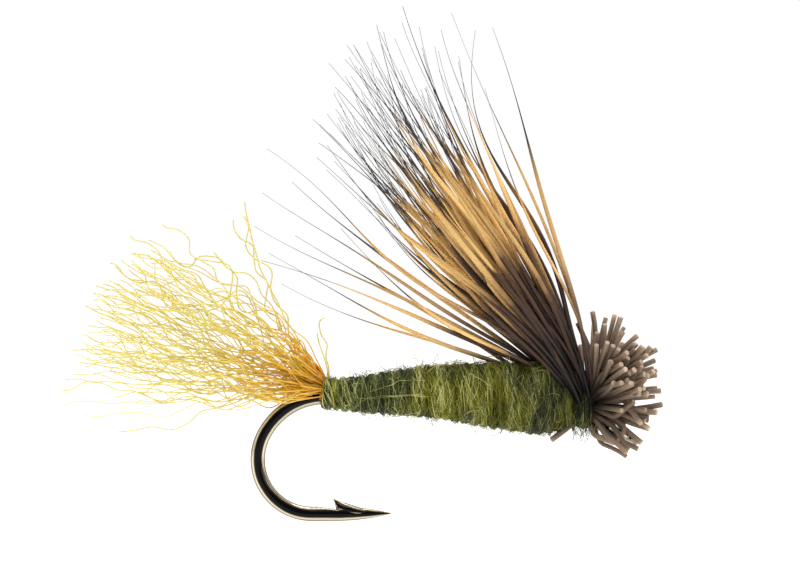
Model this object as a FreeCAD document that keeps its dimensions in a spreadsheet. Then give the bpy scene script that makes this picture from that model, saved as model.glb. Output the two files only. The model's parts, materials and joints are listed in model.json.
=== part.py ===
"""Dry fly (caddis emerger style) on a size 14 down-eye hook, as a parametric FreeCAD document.

Millimetres. The origin is the centre of the hook's eye. +X runs forward along the hook shank,
+Z is up (wing side) and the hook's own plane is XZ.

The fly is tied on the shank: a thread base, a yarn underbody that runs out behind as a trailing
shuck, a dubbed body, a stack of deer hair bound down under a thread collar, which stands up behind
the collar as the wing and flares out in front of it as clipped butts, and a whip-finished head.
Loose hair and yarn are held as closed tapered solids called locks, strands and tufts.
"""

import FreeCAD, Part
import math
import os

import Sketcher
from FreeCAD import Placement, Rotation, Vector

SIZES = [
    # hook wire
    ("wire_diameter", 0.475, "hook wire diameter"),
    ("shank_height", 0.61, "shank axis above the centre of the eye"),
    ("shank_front", 0.95, "front end of the straight shank, behind the eye centre"),
    ("bend_start", 9.34, "rear end of the straight shank, behind the eye centre"),
    ("bend_upper_radius", 2.24, "centreline radius of the upper part of the bend"),
    ("bend_upper_turn", 66, "degrees turned on that radius"),
    ("bend_lower_radius", 1.735, "centreline radius of the lower part of the bend"),
    ("spear_lift", 4, "degrees that the spear rises towards its point"),
    ("spear_length", 0.78, "straight full-diameter stretch of the spear"),
    ("point_length", 1.75, "ground taper, from full diameter to the point"),
    ("point_tip_radius", 0.012, "radius left at the very point"),
    ("barb_height", 0.27, "barb tip above the wire"),
    ("barb_length", 0.95, "barb measured along the spear"),
    ("barb_width", 0.17, "barb measured across the hook"),
    ("barb_overhang", 0.20, "how far the barb tip leans back over its notch"),
    # hook eye
    ("eye_wire_radius", 0.15, "radius of the wire where it forms the eye"),
    ("eye_ring_radius", 0.46, "centreline radius of the eye ring"),
    ("eye_land_radius", 0.33, "radius of the burnished land inside the eye"),
    ("eye_tilt", 26, "degrees that the eye is turned down"),
    ("eye_roll", 20, "degrees that the eye is rolled about its own long axis"),
    # thread
    ("thread_radius", 0.05, "radius of one turn of tying thread"),
    ("base_radius", 0.275, "outer radius of the thread base on the shank"),
    ("base_rear", 9.68, "rear end of the thread base, behind the eye centre"),
    ("rear_wrap_count", 4, "turns that bind the yarn at the rear"),
    ("rear_wrap_radius", 0.42, "centreline radius of those turns"),
    ("rear_wrap_rise", 0.10, "their centre above the shank axis"),
    ("collar_count", 5, "turns that bind the hair"),
    ("collar_radius", 0.55, "centreline radius of those turns"),
    ("collar_rise", 0.23, "their centre above the shank axis"),
    ("collar_rear", 1.48, "rear end of the collar, behind the eye centre"),
    ("head_wrap_count", 3, "turns of the whip finish on the neck"),
    ("head_wrap_radius", 0.255, "centreline radius of those turns"),
    # yarn and dubbing
    ("underbody_radius", 0.36, "outer radius of the yarn bound along the shank"),
    ("underbody_front", 3.9, "front end of that yarn, behind the eye centre"),
    ("body_rear", 9.20, "rear end of the dubbed body, behind the eye centre"),
    ("body_belly", 2.90, "its fattest place, behind the eye centre"),
    ("body_front", 1.58, "its front end, behind the eye centre"),
    ("body_rear_radius", 0.44, "its radius at the rear"),
    ("body_belly_radius", 1.09, "its radius at the belly"),
    ("body_front_radius", 0.40, "its radius at the front"),
    ("body_rear_rise", 0.12, "its centre above the shank axis at the rear"),
    ("body_belly_rise", 0.40, "its centre above the shank axis at the belly"),
    ("body_front_rise", 0.10, "its centre above the shank axis at the front"),
    # hair
    ("waist_radius", 0.495, "radius of the hair crushed under the collar"),
    ("hair_radius", 0.055, "radius of a single deer hair"),
    ("hair_tip_radius", 0.015, "radius of a single hair near its tip"),
    ("wing_length", 14.0, "longest hair of the wing"),
    ("wing_root_pitch", 80, "degrees above the rearward shank at which wing hair leaves the collar"),
    ("wing_turn_length", 2.4, "length over which wing hair turns back to its own pitch"),
    ("lock_start", 2.0, "where the wing hair parts into locks, along the hair"),
    ("lock_root_radius", 0.05, "radius of a lock of wing hair at its root"),
    ("lock_belly_radius", 0.52, "radius of a lock at its widest"),
    ("lock_tip_radius", 0.10, "radius of a lock at its tip"),
    ("lock_splay", 15, "degrees between the left, middle and right rows of locks"),
    ("butt_length", 1.95, "tuft of clipped hair in front of the collar"),
    ("butt_start", 0.50, "its root's distance from the middle of the crushed hair"),
    ("butt_root_radius", 0.06, "radius of a tuft of butts at the collar"),
    ("butt_end_radius", 0.31, "radius of a tuft at its cut end"),
    # shuck
    ("shuck_length", 7.6, "trailing shuck behind its binding"),
    ("strand_root_radius", 0.06, "radius of a strand of yarn at its root"),
    ("strand_belly_radius", 0.42, "radius of a strand at its widest"),
    ("strand_tip_radius", 0.16, "radius of a strand at its end"),
    ("strand_yaw", 11, "degrees between the rows of strands"),
    ("fibre_radius", 0.03, "radius of a single yarn fibre"),
]
# Rows of locks and strands: row number to each one's degrees above the rearward shank.
LOCK_PITCHES = {0: (31, 42, 53, 63), -1: (36, 47, 58), 1: (36, 47, 58)}
# Single hairs: degrees above the rearward shank, degrees about the shank, length.
GUARD_HAIRS = [(12, -9, 9.8), (15, 7, 10.6), (19, -4, 11.0), (23, 10, 11.4), (27, -13, 11.8), (70, 4, 12.3)]
# Clipped butts: degrees above the forward shank, degrees about the shank, and a stray one's length.
BUTT_TUFTS = [(82, s) for s in (-66, -22, 22, 66)] + [(50, s) for s in (-62, -20, 20, 62)]
BUTT_TUFTS += [(18, s) for s in (-75, 0, 75)] + [(-9, 0)]
STRAY_BUTTS = [(97, 12, 2.2), (97, -30, 1.9), (-30, 62, 1.5), (-32, -62, 1.4)]
STRAND_PITCHES = {0: (4, 17, 30, 43), -1: (10, 23, 36), 1: (10, 23, 36)}
# Single yarn fibres: degrees above the rearward shank, degrees of yaw, length.
STRAY_FIBRES = [(-6, -4, 8.0), (52, 3, 6.6), (60, -5, 6.3), (26, 19, 7.6), (14, -19, 7.7)]
# Sections of the body from its rear to just before its belly, as shares of that length.
BODY_REAR_SHARES = (0, 0.12, 0.26, 0.4, 0.55, 0.78)
EXPORT_FOLDER = "parts"

doc = FreeCAD.newDocument("dry_fly")
sheet = doc.addObject("Spreadsheet::Sheet", "Sizes")
for row, (alias, value, note) in enumerate(SIZES, start=1):
    sheet.set(f"A{row}", note)
    sheet.set(f"B{row}", str(value))
    sheet.setAlias(f"B{row}", alias)
doc.recompute()
pieces = []


def size(alias):
    """A driving dimension as a plain number."""
    return float(getattr(sheet, alias))


def bind(thing, **expressions):
    """Binds properties of an object to cells of the sheet. In an expression, @ stands for the sheet."""
    for name, expression in expressions.items():
        thing.setExpression(name, expression.replace("@", "Sizes."))
    return thing


def publish(thing, label):
    """Gives an object the name its piece is exported under."""
    thing.Label = label
    pieces.append(thing)
    return thing


def along_x(x, z=0.0, y=0.0):
    """Placement whose own Z axis runs along +X, at a point."""
    return Placement(Vector(x, y, z), Rotation(Vector(0, 1, 0), 90))


def facing(point, direction):
    """Placement at a point whose own Z axis runs along a direction."""
    return Placement(point, Rotation(Vector(0, 0, 1), direction))


def sheet_point(distance_behind_eye, rise=0.0):
    """A point on or above the shank axis."""
    return Vector(-distance_behind_eye, 0, size("shank_height") + rise)


def cylinder_along_shank(name, radius, rear, front, rise=0.0, spare=0.0):
    """Cylinder along +X between two distances behind the eye, longer by a spare length at each end."""
    made = doc.addObject("Part::Cylinder", name)
    bind(made, Radius=f"@{radius}", Height=f"@{rear} - @{front} + {2 * spare}")
    made.Placement = along_x(-size(rear) - spare, size("shank_height") + rise)
    return made


def subtract(name, base, *tools):
    """Base with each tool cut away in turn."""
    for number, tool in enumerate(tools):
        cut = doc.addObject("Part::Cut", f"{name}_cut_{number}")
        cut.Base, cut.Tool = base, tool
        base = cut
    doc.recompute()
    return base


def grouped(name, members):
    """One node that holds several separate solids."""
    group = doc.addObject("Part::Compound", name)
    group.Links = members
    return group


def origin_plane(body, role):
    return next(f for f in body.Origin.OriginFeatures if f.Role == role)


def sketch_on(body, name, role="XZ_Plane"):
    sketch = body.newObject("Sketcher::SketchObject", name)
    sketch.AttachmentSupport = (origin_plane(body, role), [""])
    sketch.MapMode = "FlatFace"
    return sketch


def named_constraint(sketch, name, expression, *arguments):
    """A dimension of a sketch, bound to the sheet."""
    number = sketch.addConstraint(Sketcher.Constraint(*arguments))
    sketch.renameConstraint(number, name)
    sketch.setExpression(f"Constraints.{name}", expression.replace("@", "Sizes."))


# ---------------------------------------------------------------- hook


def bend_geometry():
    """Centres, end angles and junctions of the two arcs of the bend, in the XZ plane."""
    upper, lower = size("bend_upper_radius"), size("bend_lower_radius")
    turn = math.radians(90 + size("bend_upper_turn"))
    end = math.radians(270 + size("spear_lift"))
    upper_centre = Vector(-size("bend_start"), size("shank_height") - upper)
    lower_centre = upper_centre + Vector(math.cos(turn), math.sin(turn)) * (upper - lower)
    spear_start = lower_centre + Vector(math.cos(end), math.sin(end)) * lower
    return upper_centre, lower_centre, turn, end, spear_start


def spear_frame(along, across=0.0):
    """A point of the XZ plane measured along the spear from its start, and across it, upwards."""
    start = bend_geometry()[4]
    lift = math.radians(size("spear_lift"))
    direction = Vector(math.cos(lift), math.sin(lift))
    upwards = Vector(-math.sin(lift), math.cos(lift))
    return start + direction * along + upwards * across


def hook_spine(body):
    """Spear, lower arc, upper arc and shank as one tangent line. A sketch on XZ has local Y along Z."""
    spine = sketch_on(body, "hook_spine")
    upper_centre, lower_centre, turn, end, spear_start = bend_geometry()
    shank_rear = Vector(-size("bend_start"), size("shank_height"))
    shank_front = Vector(-size("shank_front"), size("shank_height"))
    normal = Vector(0, 0, 1)
    upper = Part.Circle(upper_centre, normal, size("bend_upper_radius"))
    lower = Part.Circle(lower_centre, normal, size("bend_lower_radius"))
    spine.addGeometry(Part.LineSegment(shank_front, shank_rear), False)
    spine.addGeometry(Part.ArcOfCircle(upper, math.radians(90), turn), False)
    spine.addGeometry(Part.ArcOfCircle(lower, turn, end), False)
    spine.addGeometry(Part.LineSegment(spear_start, spear_frame(size("spear_length"))), False)
    spine.addConstraint(Sketcher.Constraint("Horizontal", 0))
    spine.addConstraint(Sketcher.Constraint("Tangent", 0, 2, 1, 1))
    spine.addConstraint(Sketcher.Constraint("Tangent", 1, 2, 2, 1))
    spine.addConstraint(Sketcher.Constraint("Tangent", 2, 2, 3, 1))
    named_constraint(spine, "upper_radius", "@bend_upper_radius", "Radius", 1, size("bend_upper_radius"))
    named_constraint(spine, "lower_radius", "@bend_lower_radius", "Radius", 2, size("bend_lower_radius"))
    named_constraint(spine, "spear", "@spear_length", "Distance", 3, size("spear_length"))
    return spine


def hook_profile(body):
    """The wire's round section at the front end of the shank."""
    profile = sketch_on(body, "hook_profile", "YZ_Plane")
    profile.AttachmentOffset = Placement(Vector(0, 0, -size("shank_front")), Rotation())
    centre = Vector(0, size("shank_height"), 0)
    profile.addGeometry(Part.Circle(centre, Vector(0, 0, 1), size("wire_diameter") / 2), False)
    named_constraint(profile, "radius", "@wire_diameter / 2", "Radius", 0, size("wire_diameter") / 2)
    named_constraint(profile, "height", "@shank_height", "DistanceY", -1, 1, 0, 3, size("shank_height"))
    return profile


def placed_primitive(body, kind, name, placement, **sizes):
    """An additive or subtractive PartDesign primitive at a placement in the body."""
    made = body.newObject(f"PartDesign::{kind}", name)
    bind(made, **sizes)
    made.Placement = placement
    doc.recompute()
    return made


def barb_outline(body):
    """The barb in side view: back edge over the notch, long slope down to the point, buried foot."""
    sketch = sketch_on(body, "barb_outline")
    wire = size("wire_diameter") / 2
    notch = size("spear_length") - 0.02
    tip = spear_frame(notch - size("barb_overhang"), wire + size("barb_height"))
    waist = spear_frame(notch - 0.02, wire + 0.02)
    foot = spear_frame(notch + 0.03, wire * 0.4)
    toe = spear_frame(notch + size("barb_length"), wire * 0.35)
    shoulder = spear_frame(notch + 0.22, wire + 0.05)
    corners = [tip, waist, foot, toe, shoulder]
    for a, b in zip(corners, corners[1:] + corners[:1]):
        sketch.addGeometry(Part.LineSegment(a, b), False)
    for n in range(len(corners)):
        after = (n + 1) % len(corners)
        sketch.addConstraint(Sketcher.Constraint("Coincident", n, 2, after, 1))
    return sketch


def eye_axes():
    """The eye's long axis, and its bore axis with the way out downwards."""
    tilt, roll = math.radians(size("eye_tilt")), math.radians(size("eye_roll"))
    long_axis = Vector(math.cos(tilt), 0, -math.sin(tilt))
    upwards = Vector(math.sin(tilt), 0, math.cos(tilt))
    bore = upwards * math.cos(roll) + Vector(0, -1, 0) * math.sin(roll)
    return long_axis, bore


def neck_ends():
    """Where the neck leaves the shank, and where it meets the eye ring."""
    long_axis, _ = eye_axes()
    return sheet_point(size("shank_front")), long_axis * -size("eye_ring_radius")


def make_hook():
    body = doc.addObject("PartDesign::Body", "hook")
    pipe = body.newObject("PartDesign::AdditivePipe", "hook_wire")
    pipe.Profile = hook_profile(body)
    pipe.Spine = hook_spine(body)
    doc.recompute()
    spear_end = spear_frame(size("spear_length"))
    lift = math.radians(size("spear_lift"))
    ahead = Vector(math.cos(lift), 0, math.sin(lift))
    cone_start = Vector(spear_end.x, 0, spear_end.y)
    placed_primitive(
        body, "AdditiveCone", "hook_point", facing(cone_start, ahead),
        Radius1="@wire_diameter / 2", Radius2="@point_tip_radius", Height="@point_length",
    )
    barb = body.newObject("PartDesign::Pad", "hook_barb")
    barb.Profile = barb_outline(body)
    barb.SideType = "Symmetric"
    bind(barb, Length="@barb_width")
    doc.recompute()
    neck_start, neck_end = neck_ends()
    neck = neck_end - neck_start
    placed_primitive(
        body, "AdditiveSphere", "hook_elbow", Placement(neck_start, Rotation()),
        Radius="@wire_diameter / 2",
    )
    neck_cone = body.newObject("PartDesign::AdditiveCone", "hook_neck")
    bind(neck_cone, Radius1="@wire_diameter / 2", Radius2="@eye_wire_radius")
    neck_cone.Height = neck.Length
    neck_cone.Placement = facing(neck_start, neck)
    doc.recompute()
    _, bore = eye_axes()
    placed_primitive(
        body, "AdditiveTorus", "hook_eye_ring", facing(Vector(0, 0, 0), bore),
        Radius1="@eye_ring_radius", Radius2="@eye_wire_radius",
    )
    before = body.Shape.Volume
    placed_primitive(
        body, "SubtractiveCylinder", "hook_eye_land", facing(bore * -0.5, bore),
        Radius="@eye_land_radius", Height="1",
    )
    assert body.Shape.Volume < before, "the eye's land cut nothing"
    return publish(body, "hook")


# ---------------------------------------------------------------- thread, yarn and dubbing


def make_thread_base():
    """Close-wound thread on the bare shank, as a sleeve that meets the wire."""
    body = doc.addObject("PartDesign::Body", "thread_sleeve")
    profile = sketch_on(body, "thread_sleeve_section")
    inner, outer = size("wire_diameter") / 2, size("base_radius")
    length = size("base_rear") - size("shank_front")
    corners = [Vector(0, inner), Vector(length, inner), Vector(length, outer), Vector(0, outer)]
    for a, b in zip(corners, corners[1:] + corners[:1]):
        profile.addGeometry(Part.LineSegment(a, b), False)
    for n in range(4):
        profile.addConstraint(Sketcher.Constraint("Coincident", n, 2, (n + 1) % 4, 1))
    for n, way in enumerate(("Horizontal", "Vertical", "Horizontal", "Vertical")):
        profile.addConstraint(Sketcher.Constraint(way, n))
    profile.addConstraint(Sketcher.Constraint("PointOnObject", 0, 1, -2))
    named_constraint(profile, "inner", "@wire_diameter / 2", "DistanceY", -1, 1, 0, 1, inner)
    named_constraint(profile, "outer", "@base_radius", "DistanceY", -1, 1, 3, 1, outer)
    named_constraint(profile, "length", "@base_rear - @shank_front", "DistanceX", 0, 1, 0, 2, length)
    turned = body.newObject("PartDesign::Revolution", "thread_sleeve_turned")
    turned.Profile = profile
    turned.ReferenceAxis = (profile, ["H_Axis"])
    turned.Angle = 360
    body.Placement = Placement(sheet_point(size("base_rear")), Rotation())
    doc.recompute()
    # the rear end follows the bend a little, so the sleeve is trimmed to the straight wire there
    return publish(subtract("thread_trim", body, doc.getObject("hook")), "thread_base")


def thread_turns(name, kind, rear):
    """Turns of tying thread side by side, each a torus round the shank."""
    turns = []
    step = 2 * size("thread_radius")
    centre = size("shank_height") + size(f"{kind}_rise")
    for n in range(int(size(f"{kind}_count"))):
        turn = doc.addObject("Part::Torus", f"{name}_turn_{n + 1}")
        bind(turn, Radius1=f"@{kind}_radius", Radius2="@thread_radius")
        turn.Placement = along_x(-size(rear) + step * (n + 0.5), centre)
        turns.append(turn)
    return publish(grouped(name, turns), name)


def make_shuck_underbody():
    """Yarn bound along the top of the shank: a crescent over the thread base."""
    rise = size("rear_wrap_rise")
    solid = cylinder_along_shank("underbody_round", "underbody_radius", "base_rear", "underbody_front", rise)
    bore = cylinder_along_shank("underbody_bore", "base_radius", "base_rear", "underbody_front", spare=0.1)
    return publish(subtract("underbody", solid, bore), "shuck_underbody")


def ring_section(name, radius, place):
    """A circle for a loft, square to the placement's own Z axis."""
    ring = doc.addObject("Part::Circle", name)
    bind(ring, Radius=radius)
    ring.Placement = place
    return ring


def lofted(name, sections, ruled=False):
    """Solid through round sections, smooth or straight from one to the next."""
    loft = doc.addObject("Part::Loft", name)
    loft.Sections = sections
    loft.Solid = True
    loft.Ruled = ruled
    loft.MaxDegree = 3
    return loft


def body_section(number, x, swell, lift):
    """Round section of the body: its radius grows with swell and its centre rises with lift, 0 to 1."""
    kind = "rear" if number < len(BODY_REAR_SHARES) else "front"
    rise = size(f"body_{kind}_rise")
    rise += (size("body_belly_rise") - rise) * lift
    radius = f"@body_{kind}_radius + (@body_belly_radius - @body_{kind}_radius) * {swell:.4f}"
    return ring_section(f"body_ring_{number}", radius, along_x(x, size("shank_height") + rise))


def make_dubbed_body():
    """A spindle: nearly a cone from rear to belly, closed on a quarter ellipse in front.
    The underside stays close to the wire at the rear, so the centre rises faster than the radius grows."""
    rear, belly, front = size("body_rear"), size("body_belly"), size("body_front")
    sections = []
    for share in BODY_REAR_SHARES:
        swell = 0.85 * share + 0.15 * math.sin(share * math.pi / 2)
        ease = min(1.0, share / 0.55)
        lift = ease**2 * (3 - 2 * ease)
        sections.append(body_section(len(sections), -(rear + (belly - rear) * share), swell, lift))
    for share in (0, 0.35, 0.7, 0.9, 1):
        close = math.sqrt(1 - share**2)
        sections.append(body_section(len(sections), -(belly + (front - belly) * share), close, close))
    spindle = lofted("body_spindle", sections)
    rise = size("rear_wrap_rise")
    yarn = cylinder_along_shank("body_yarn_bore", "underbody_radius", "base_rear", "underbody_front", rise)
    bore = cylinder_along_shank("body_bore", "base_radius", "base_rear", "shank_front")
    return publish(subtract("dubbed_body", spindle, yarn, bore), "dubbed_body")


def make_hair_waist():
    """Deer hair crushed on top of the shank by the collar."""
    rise = size("collar_rise")
    solid = cylinder_along_shank("waist_round", "waist_radius", "collar_rear", "shank_front", rise)
    bore = cylinder_along_shank("waist_bore", "base_radius", "collar_rear", "shank_front", spare=0.1)
    return publish(subtract("hair_waist", solid, bore), "hair_waist")


def make_shuck_root():
    """The dense foot of the shuck where it leaves its binding, above the wire."""
    back, rise = size("base_rear"), size("rear_wrap_rise")
    high = size("shank_height")
    sections = [
        ring_section("shuck_root_0", "@underbody_radius - 0.03", along_x(-back - 0.02, high + rise + 0.02)),
        ring_section("shuck_root_1", "@underbody_radius - 0.01", along_x(-back - 0.20, high + rise + 0.10)),
        ring_section("shuck_root_2", "@underbody_radius + 0.02", along_x(-back - 0.40, high + rise + 0.20)),
    ]
    cone = lofted("shuck_root_cone", sections)
    return publish(subtract("shuck_root", cone, doc.getObject("hook")), "shuck_root")


def make_head():
    """Whip finish wound on the neck in front of the collar, and a film of head cement over it."""
    neck_start, neck_end = neck_ends()
    neck = (neck_end - neck_start).normalize()
    step, first = 2 * size("thread_radius"), 0.25
    turns = []
    for n in range(int(size("head_wrap_count"))):
        turn = doc.addObject("Part::Torus", f"head_wrap_{n + 1}")
        bind(turn, Radius1="@head_wrap_radius", Radius2="@thread_radius")
        turn.Placement = facing(neck_start + neck * (first + step * n), neck)
        turns.append(turn)
    doc.recompute()
    publish(grouped("head_wraps", turns), "head_wraps")
    film = doc.addObject("Part::Cylinder", "cement_film")
    long = "2 * @thread_radius * @head_wrap_count"
    bind(film, Radius="@head_wrap_radius + @thread_radius + 0.02", Height=long)
    film.Placement = facing(neck_start + neck * (first - size("thread_radius")), neck)
    bore = doc.addObject("Part::Cylinder", "cement_bore")
    bind(bore, Radius="@head_wrap_radius + @thread_radius", Height=f"{long} + 0.2")
    bore.Placement = facing(neck_start + neck * (first - size("thread_radius") - 0.1), neck)
    return publish(subtract("head_cement", film, bore), "head_cement")


# ---------------------------------------------------------------- loose hair and yarn


def wing_path(end_pitch, distance):
    """Point and heading after a distance along wing hair, in the hook's plane.
    Hair leaves the collar almost upright, turns back on an arc to its own pitch and runs on straight."""
    start, end = math.radians(size("wing_root_pitch")), math.radians(end_pitch)
    arc = size("wing_turn_length")
    turned = (start - end) * min(1.0, distance / arc)
    middle = start - turned / 2
    chord = 2 * arc / (start - end) * math.sin(turned / 2)
    heading = Vector(-math.cos(start - turned), 0, math.sin(start - turned))
    point = wing_root() + Vector(-math.cos(middle), 0, math.sin(middle)) * chord
    return point + heading * max(0.0, distance - arc), heading


def about_shank(vector, degrees, is_point=True):
    """A point or direction turned about the shank axis."""
    axis_point = Vector(0, 0, size("shank_height")) if is_point else Vector(0, 0, 0)
    turn = Rotation(Vector(1, 0, 0), degrees)
    return turn.multVec(vector - axis_point) + axis_point


def wing_root():
    """Where the hair leaves the collar, just inside its rear edge."""
    return sheet_point(size("collar_rear") - 0.10, size("collar_rise") + 0.04)


def wing_section(name, radius, pitch, splay, distance):
    """Round section of wing hair of one pitch, with its path turned about the shank."""
    point, heading = wing_path(pitch, distance)
    place = facing(about_shank(point, splay), about_shank(heading, splay, False))
    return ring_section(name, radius, place)


def make_wing_lock(number, pitch, splay):
    """One lock: thin at the root, widest at two thirds, narrowing to its tips."""
    name = f"wing_lock_{number}"
    length = size("wing_length") * (1 - abs(pitch - 55) / 500)
    stations = [
        (size("lock_start"), "@lock_root_radius"),
        (0.25 * length, "@lock_belly_radius * 0.34"),
        (0.50 * length, "@lock_belly_radius * 0.78"),
        (0.72 * length, "@lock_belly_radius"),
        (length, "@lock_tip_radius"),
    ]
    rings = [wing_section(f"{name}_ring_{n}", r, pitch, splay, s) for n, (s, r) in enumerate(stations)]
    return publish(lofted(name, rings), name)


def make_wing_bundle():
    """The hair between the collar and the place where it parts into locks."""
    stations = [(0.72, "@lock_root_radius * 1.4"), (1.10, "@lock_root_radius * 1.6")]
    stations.append((size("lock_start") - 0.15, "@lock_root_radius * 2.8"))
    middle_pitch = 58
    rings = [wing_section(f"bundle_ring_{n}", r, middle_pitch, 0, s) for n, (s, r) in enumerate(stations)]
    return publish(lofted("wing_bundle", rings, ruled=True), "wing_bundle")


def make_guard_hairs():
    """Single hairs that stand apart from the locks."""
    hairs = []
    for n, (pitch, splay, length) in enumerate(GUARD_HAIRS, start=1):
        start = size("lock_start")
        stations = [(start, "@hair_radius"), (start + 0.4, "@hair_radius"), (0.6 * length, "@hair_radius")]
        stations.append((length, "@hair_tip_radius"))
        rings = [wing_section(f"guard_{n}_ring_{k}", r, pitch, splay, s) for k, (s, r) in enumerate(stations)]
        hairs.append(lofted(f"guard_hair_{n}", rings, ruled=True))
    doc.recompute()
    return publish(grouped("wing_guard_hairs", hairs), "wing_guard_hairs")


def butt_direction(pitch, splay):
    """Pitch above +X in the hook's plane, then turned about the shank."""
    pitch = math.radians(pitch)
    return about_shank(Vector(math.cos(pitch), 0, math.sin(pitch)), splay, False)


def butt_root():
    return sheet_point(size("shank_front") - 0.10, size("collar_rise") + 0.07)


def make_butts():
    """Tufts of clipped butts, each a cone that flares from the collar to its cut end."""
    start = size("butt_start")
    for number, (pitch, splay) in enumerate(BUTT_TUFTS, start=1):
        tuft = doc.addObject("Part::Cone", f"butt_tuft_{number}")
        bind(tuft, Radius1="@butt_root_radius", Radius2="@butt_end_radius", Height="@butt_length")
        way = butt_direction(pitch, splay)
        tuft.Placement = facing(butt_root() + way * start, way)
        publish(tuft, f"butt_tuft_{number}")
    strays = []
    for number, (pitch, splay, length) in enumerate(STRAY_BUTTS, start=1):
        hair = doc.addObject("Part::Cylinder", f"stray_butt_{number}")
        bind(hair, Radius="@hair_radius")
        hair.Height = length
        way = butt_direction(pitch, splay)
        hair.Placement = facing(butt_root() + way * start, way)
        strays.append(hair)
    doc.recompute()
    return publish(grouped("stray_butts", strays), "stray_butts")


def shuck_pivot():
    """Where the shuck bends: at the rear binding."""
    return sheet_point(size("base_rear"), size("rear_wrap_rise") + 0.16)


def shuck_section(name, radius, pitch, yaw, distance):
    pitch, yaw = math.radians(pitch), math.radians(yaw)
    way = Vector(-math.cos(pitch) * math.cos(yaw), math.cos(pitch) * math.sin(yaw), math.sin(pitch))
    return ring_section(name, radius, facing(shuck_pivot() + way * distance, way))


def make_shuck():
    """Strands of crinkled yarn that fan out behind, and single fibres beside them."""
    number = 0
    for row, pitches in STRAND_PITCHES.items():
        for pitch in pitches:
            number += 1
            name = f"shuck_strand_{number}"
            length = size("shuck_length") * math.cos(math.radians(0.6 * (pitch - 12)))
            stations = [
                (0.75, "@strand_root_radius"),
                (0.35 * length, "@strand_belly_radius * 0.60"),
                (0.70 * length, "@strand_belly_radius"),
                (length, "@strand_tip_radius"),
            ]
            yaw = row * size("strand_yaw")
            rings = [shuck_section(f"{name}_ring_{n}", r, pitch, yaw, s) for n, (s, r) in enumerate(stations)]
            publish(lofted(name, rings), name)
    fibres = []
    for n, (pitch, yaw, length) in enumerate(STRAY_FIBRES, start=1):
        rings = [
            shuck_section(f"fibre_{n}_ring_0", "@fibre_radius", pitch, yaw, 0.9),
            shuck_section(f"fibre_{n}_ring_1", "@fibre_radius", pitch, yaw, length),
        ]
        fibres.append(lofted(f"stray_fibre_{n}", rings))
    doc.recompute()
    return publish(grouped("shuck_stray_fibres", fibres), "shuck_stray_fibres")


def make_all():
    make_hook()
    make_thread_base()
    make_shuck_underbody()
    thread_turns("rear_wraps", "rear_wrap", "base_rear")
    make_shuck_root()
    make_dubbed_body()
    make_hair_waist()
    thread_turns("wing_collar", "collar", "collar_rear")
    make_head()
    number = 0
    for row, pitches in LOCK_PITCHES.items():
        for pitch in pitches:
            number += 1
            make_wing_lock(number, pitch, row * size("lock_splay"))
    make_wing_bundle()
    make_guard_hairs()
    make_butts()
    make_shuck()
    doc.recompute()


def check_and_export():
    """Stops on any failed object or bad solid, then writes one STEP per piece."""
    for thing in doc.Objects:
        if {"Invalid", "Error"} & set(thing.State):
            raise SystemExit(f"{thing.Name} failed: {thing.State}")
    os.makedirs(EXPORT_FOLDER, exist_ok=True)
    for old in os.listdir(EXPORT_FOLDER):
        os.remove(os.path.join(EXPORT_FOLDER, old))
    for thing in pieces:
        shape = thing.Shape
        if shape.isNull() or not shape.isValid() or not shape.Solids:
            raise SystemExit(f"{thing.Label} has no valid solid")
        shape.exportStep(os.path.join(EXPORT_FOLDER, f"{thing.Label}.step"))
        print(f"{thing.Label}: {len(shape.Solids)} solid(s), {shape.Volume:.4f} mm3")


make_all()
check_and_export()
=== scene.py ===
import json

import bpy
import numpy as np
from bpy.props import FloatProperty, IntProperty, PointerProperty, StringProperty
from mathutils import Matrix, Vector


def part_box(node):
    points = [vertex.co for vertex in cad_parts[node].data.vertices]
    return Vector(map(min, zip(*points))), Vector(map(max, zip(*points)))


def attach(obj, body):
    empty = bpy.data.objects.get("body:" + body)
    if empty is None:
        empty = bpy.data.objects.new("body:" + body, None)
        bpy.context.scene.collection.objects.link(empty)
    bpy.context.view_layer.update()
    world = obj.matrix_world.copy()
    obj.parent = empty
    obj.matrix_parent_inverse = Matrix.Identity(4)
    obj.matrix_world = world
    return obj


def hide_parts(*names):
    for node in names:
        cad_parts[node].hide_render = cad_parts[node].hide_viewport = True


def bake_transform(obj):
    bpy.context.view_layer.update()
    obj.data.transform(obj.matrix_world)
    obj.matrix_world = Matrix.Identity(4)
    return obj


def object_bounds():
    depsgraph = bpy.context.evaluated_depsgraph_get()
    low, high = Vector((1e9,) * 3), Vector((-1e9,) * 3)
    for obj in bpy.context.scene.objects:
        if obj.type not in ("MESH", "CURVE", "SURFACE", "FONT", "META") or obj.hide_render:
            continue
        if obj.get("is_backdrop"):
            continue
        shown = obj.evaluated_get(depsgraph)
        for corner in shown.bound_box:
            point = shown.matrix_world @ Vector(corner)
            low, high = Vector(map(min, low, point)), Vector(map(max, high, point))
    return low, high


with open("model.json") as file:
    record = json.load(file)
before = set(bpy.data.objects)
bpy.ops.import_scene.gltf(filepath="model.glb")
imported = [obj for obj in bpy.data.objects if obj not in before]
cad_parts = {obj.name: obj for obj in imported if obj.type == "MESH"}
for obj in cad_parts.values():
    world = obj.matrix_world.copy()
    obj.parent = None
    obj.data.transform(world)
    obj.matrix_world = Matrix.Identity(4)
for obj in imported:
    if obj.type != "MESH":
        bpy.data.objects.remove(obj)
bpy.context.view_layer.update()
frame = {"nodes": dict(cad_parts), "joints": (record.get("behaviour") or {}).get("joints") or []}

bl_info = {
    "name": "Dry fly",
    "version": (1, 0, 0),
    "blender": (4, 5, 0),
    "location": "3D View > Sidebar > Fly",
    "description": "Dresses a hair-wing dry fly on its hook: thread, yarn shuck, dubbed body, wing and butts",
    "category": "Add Mesh",
}

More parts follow.
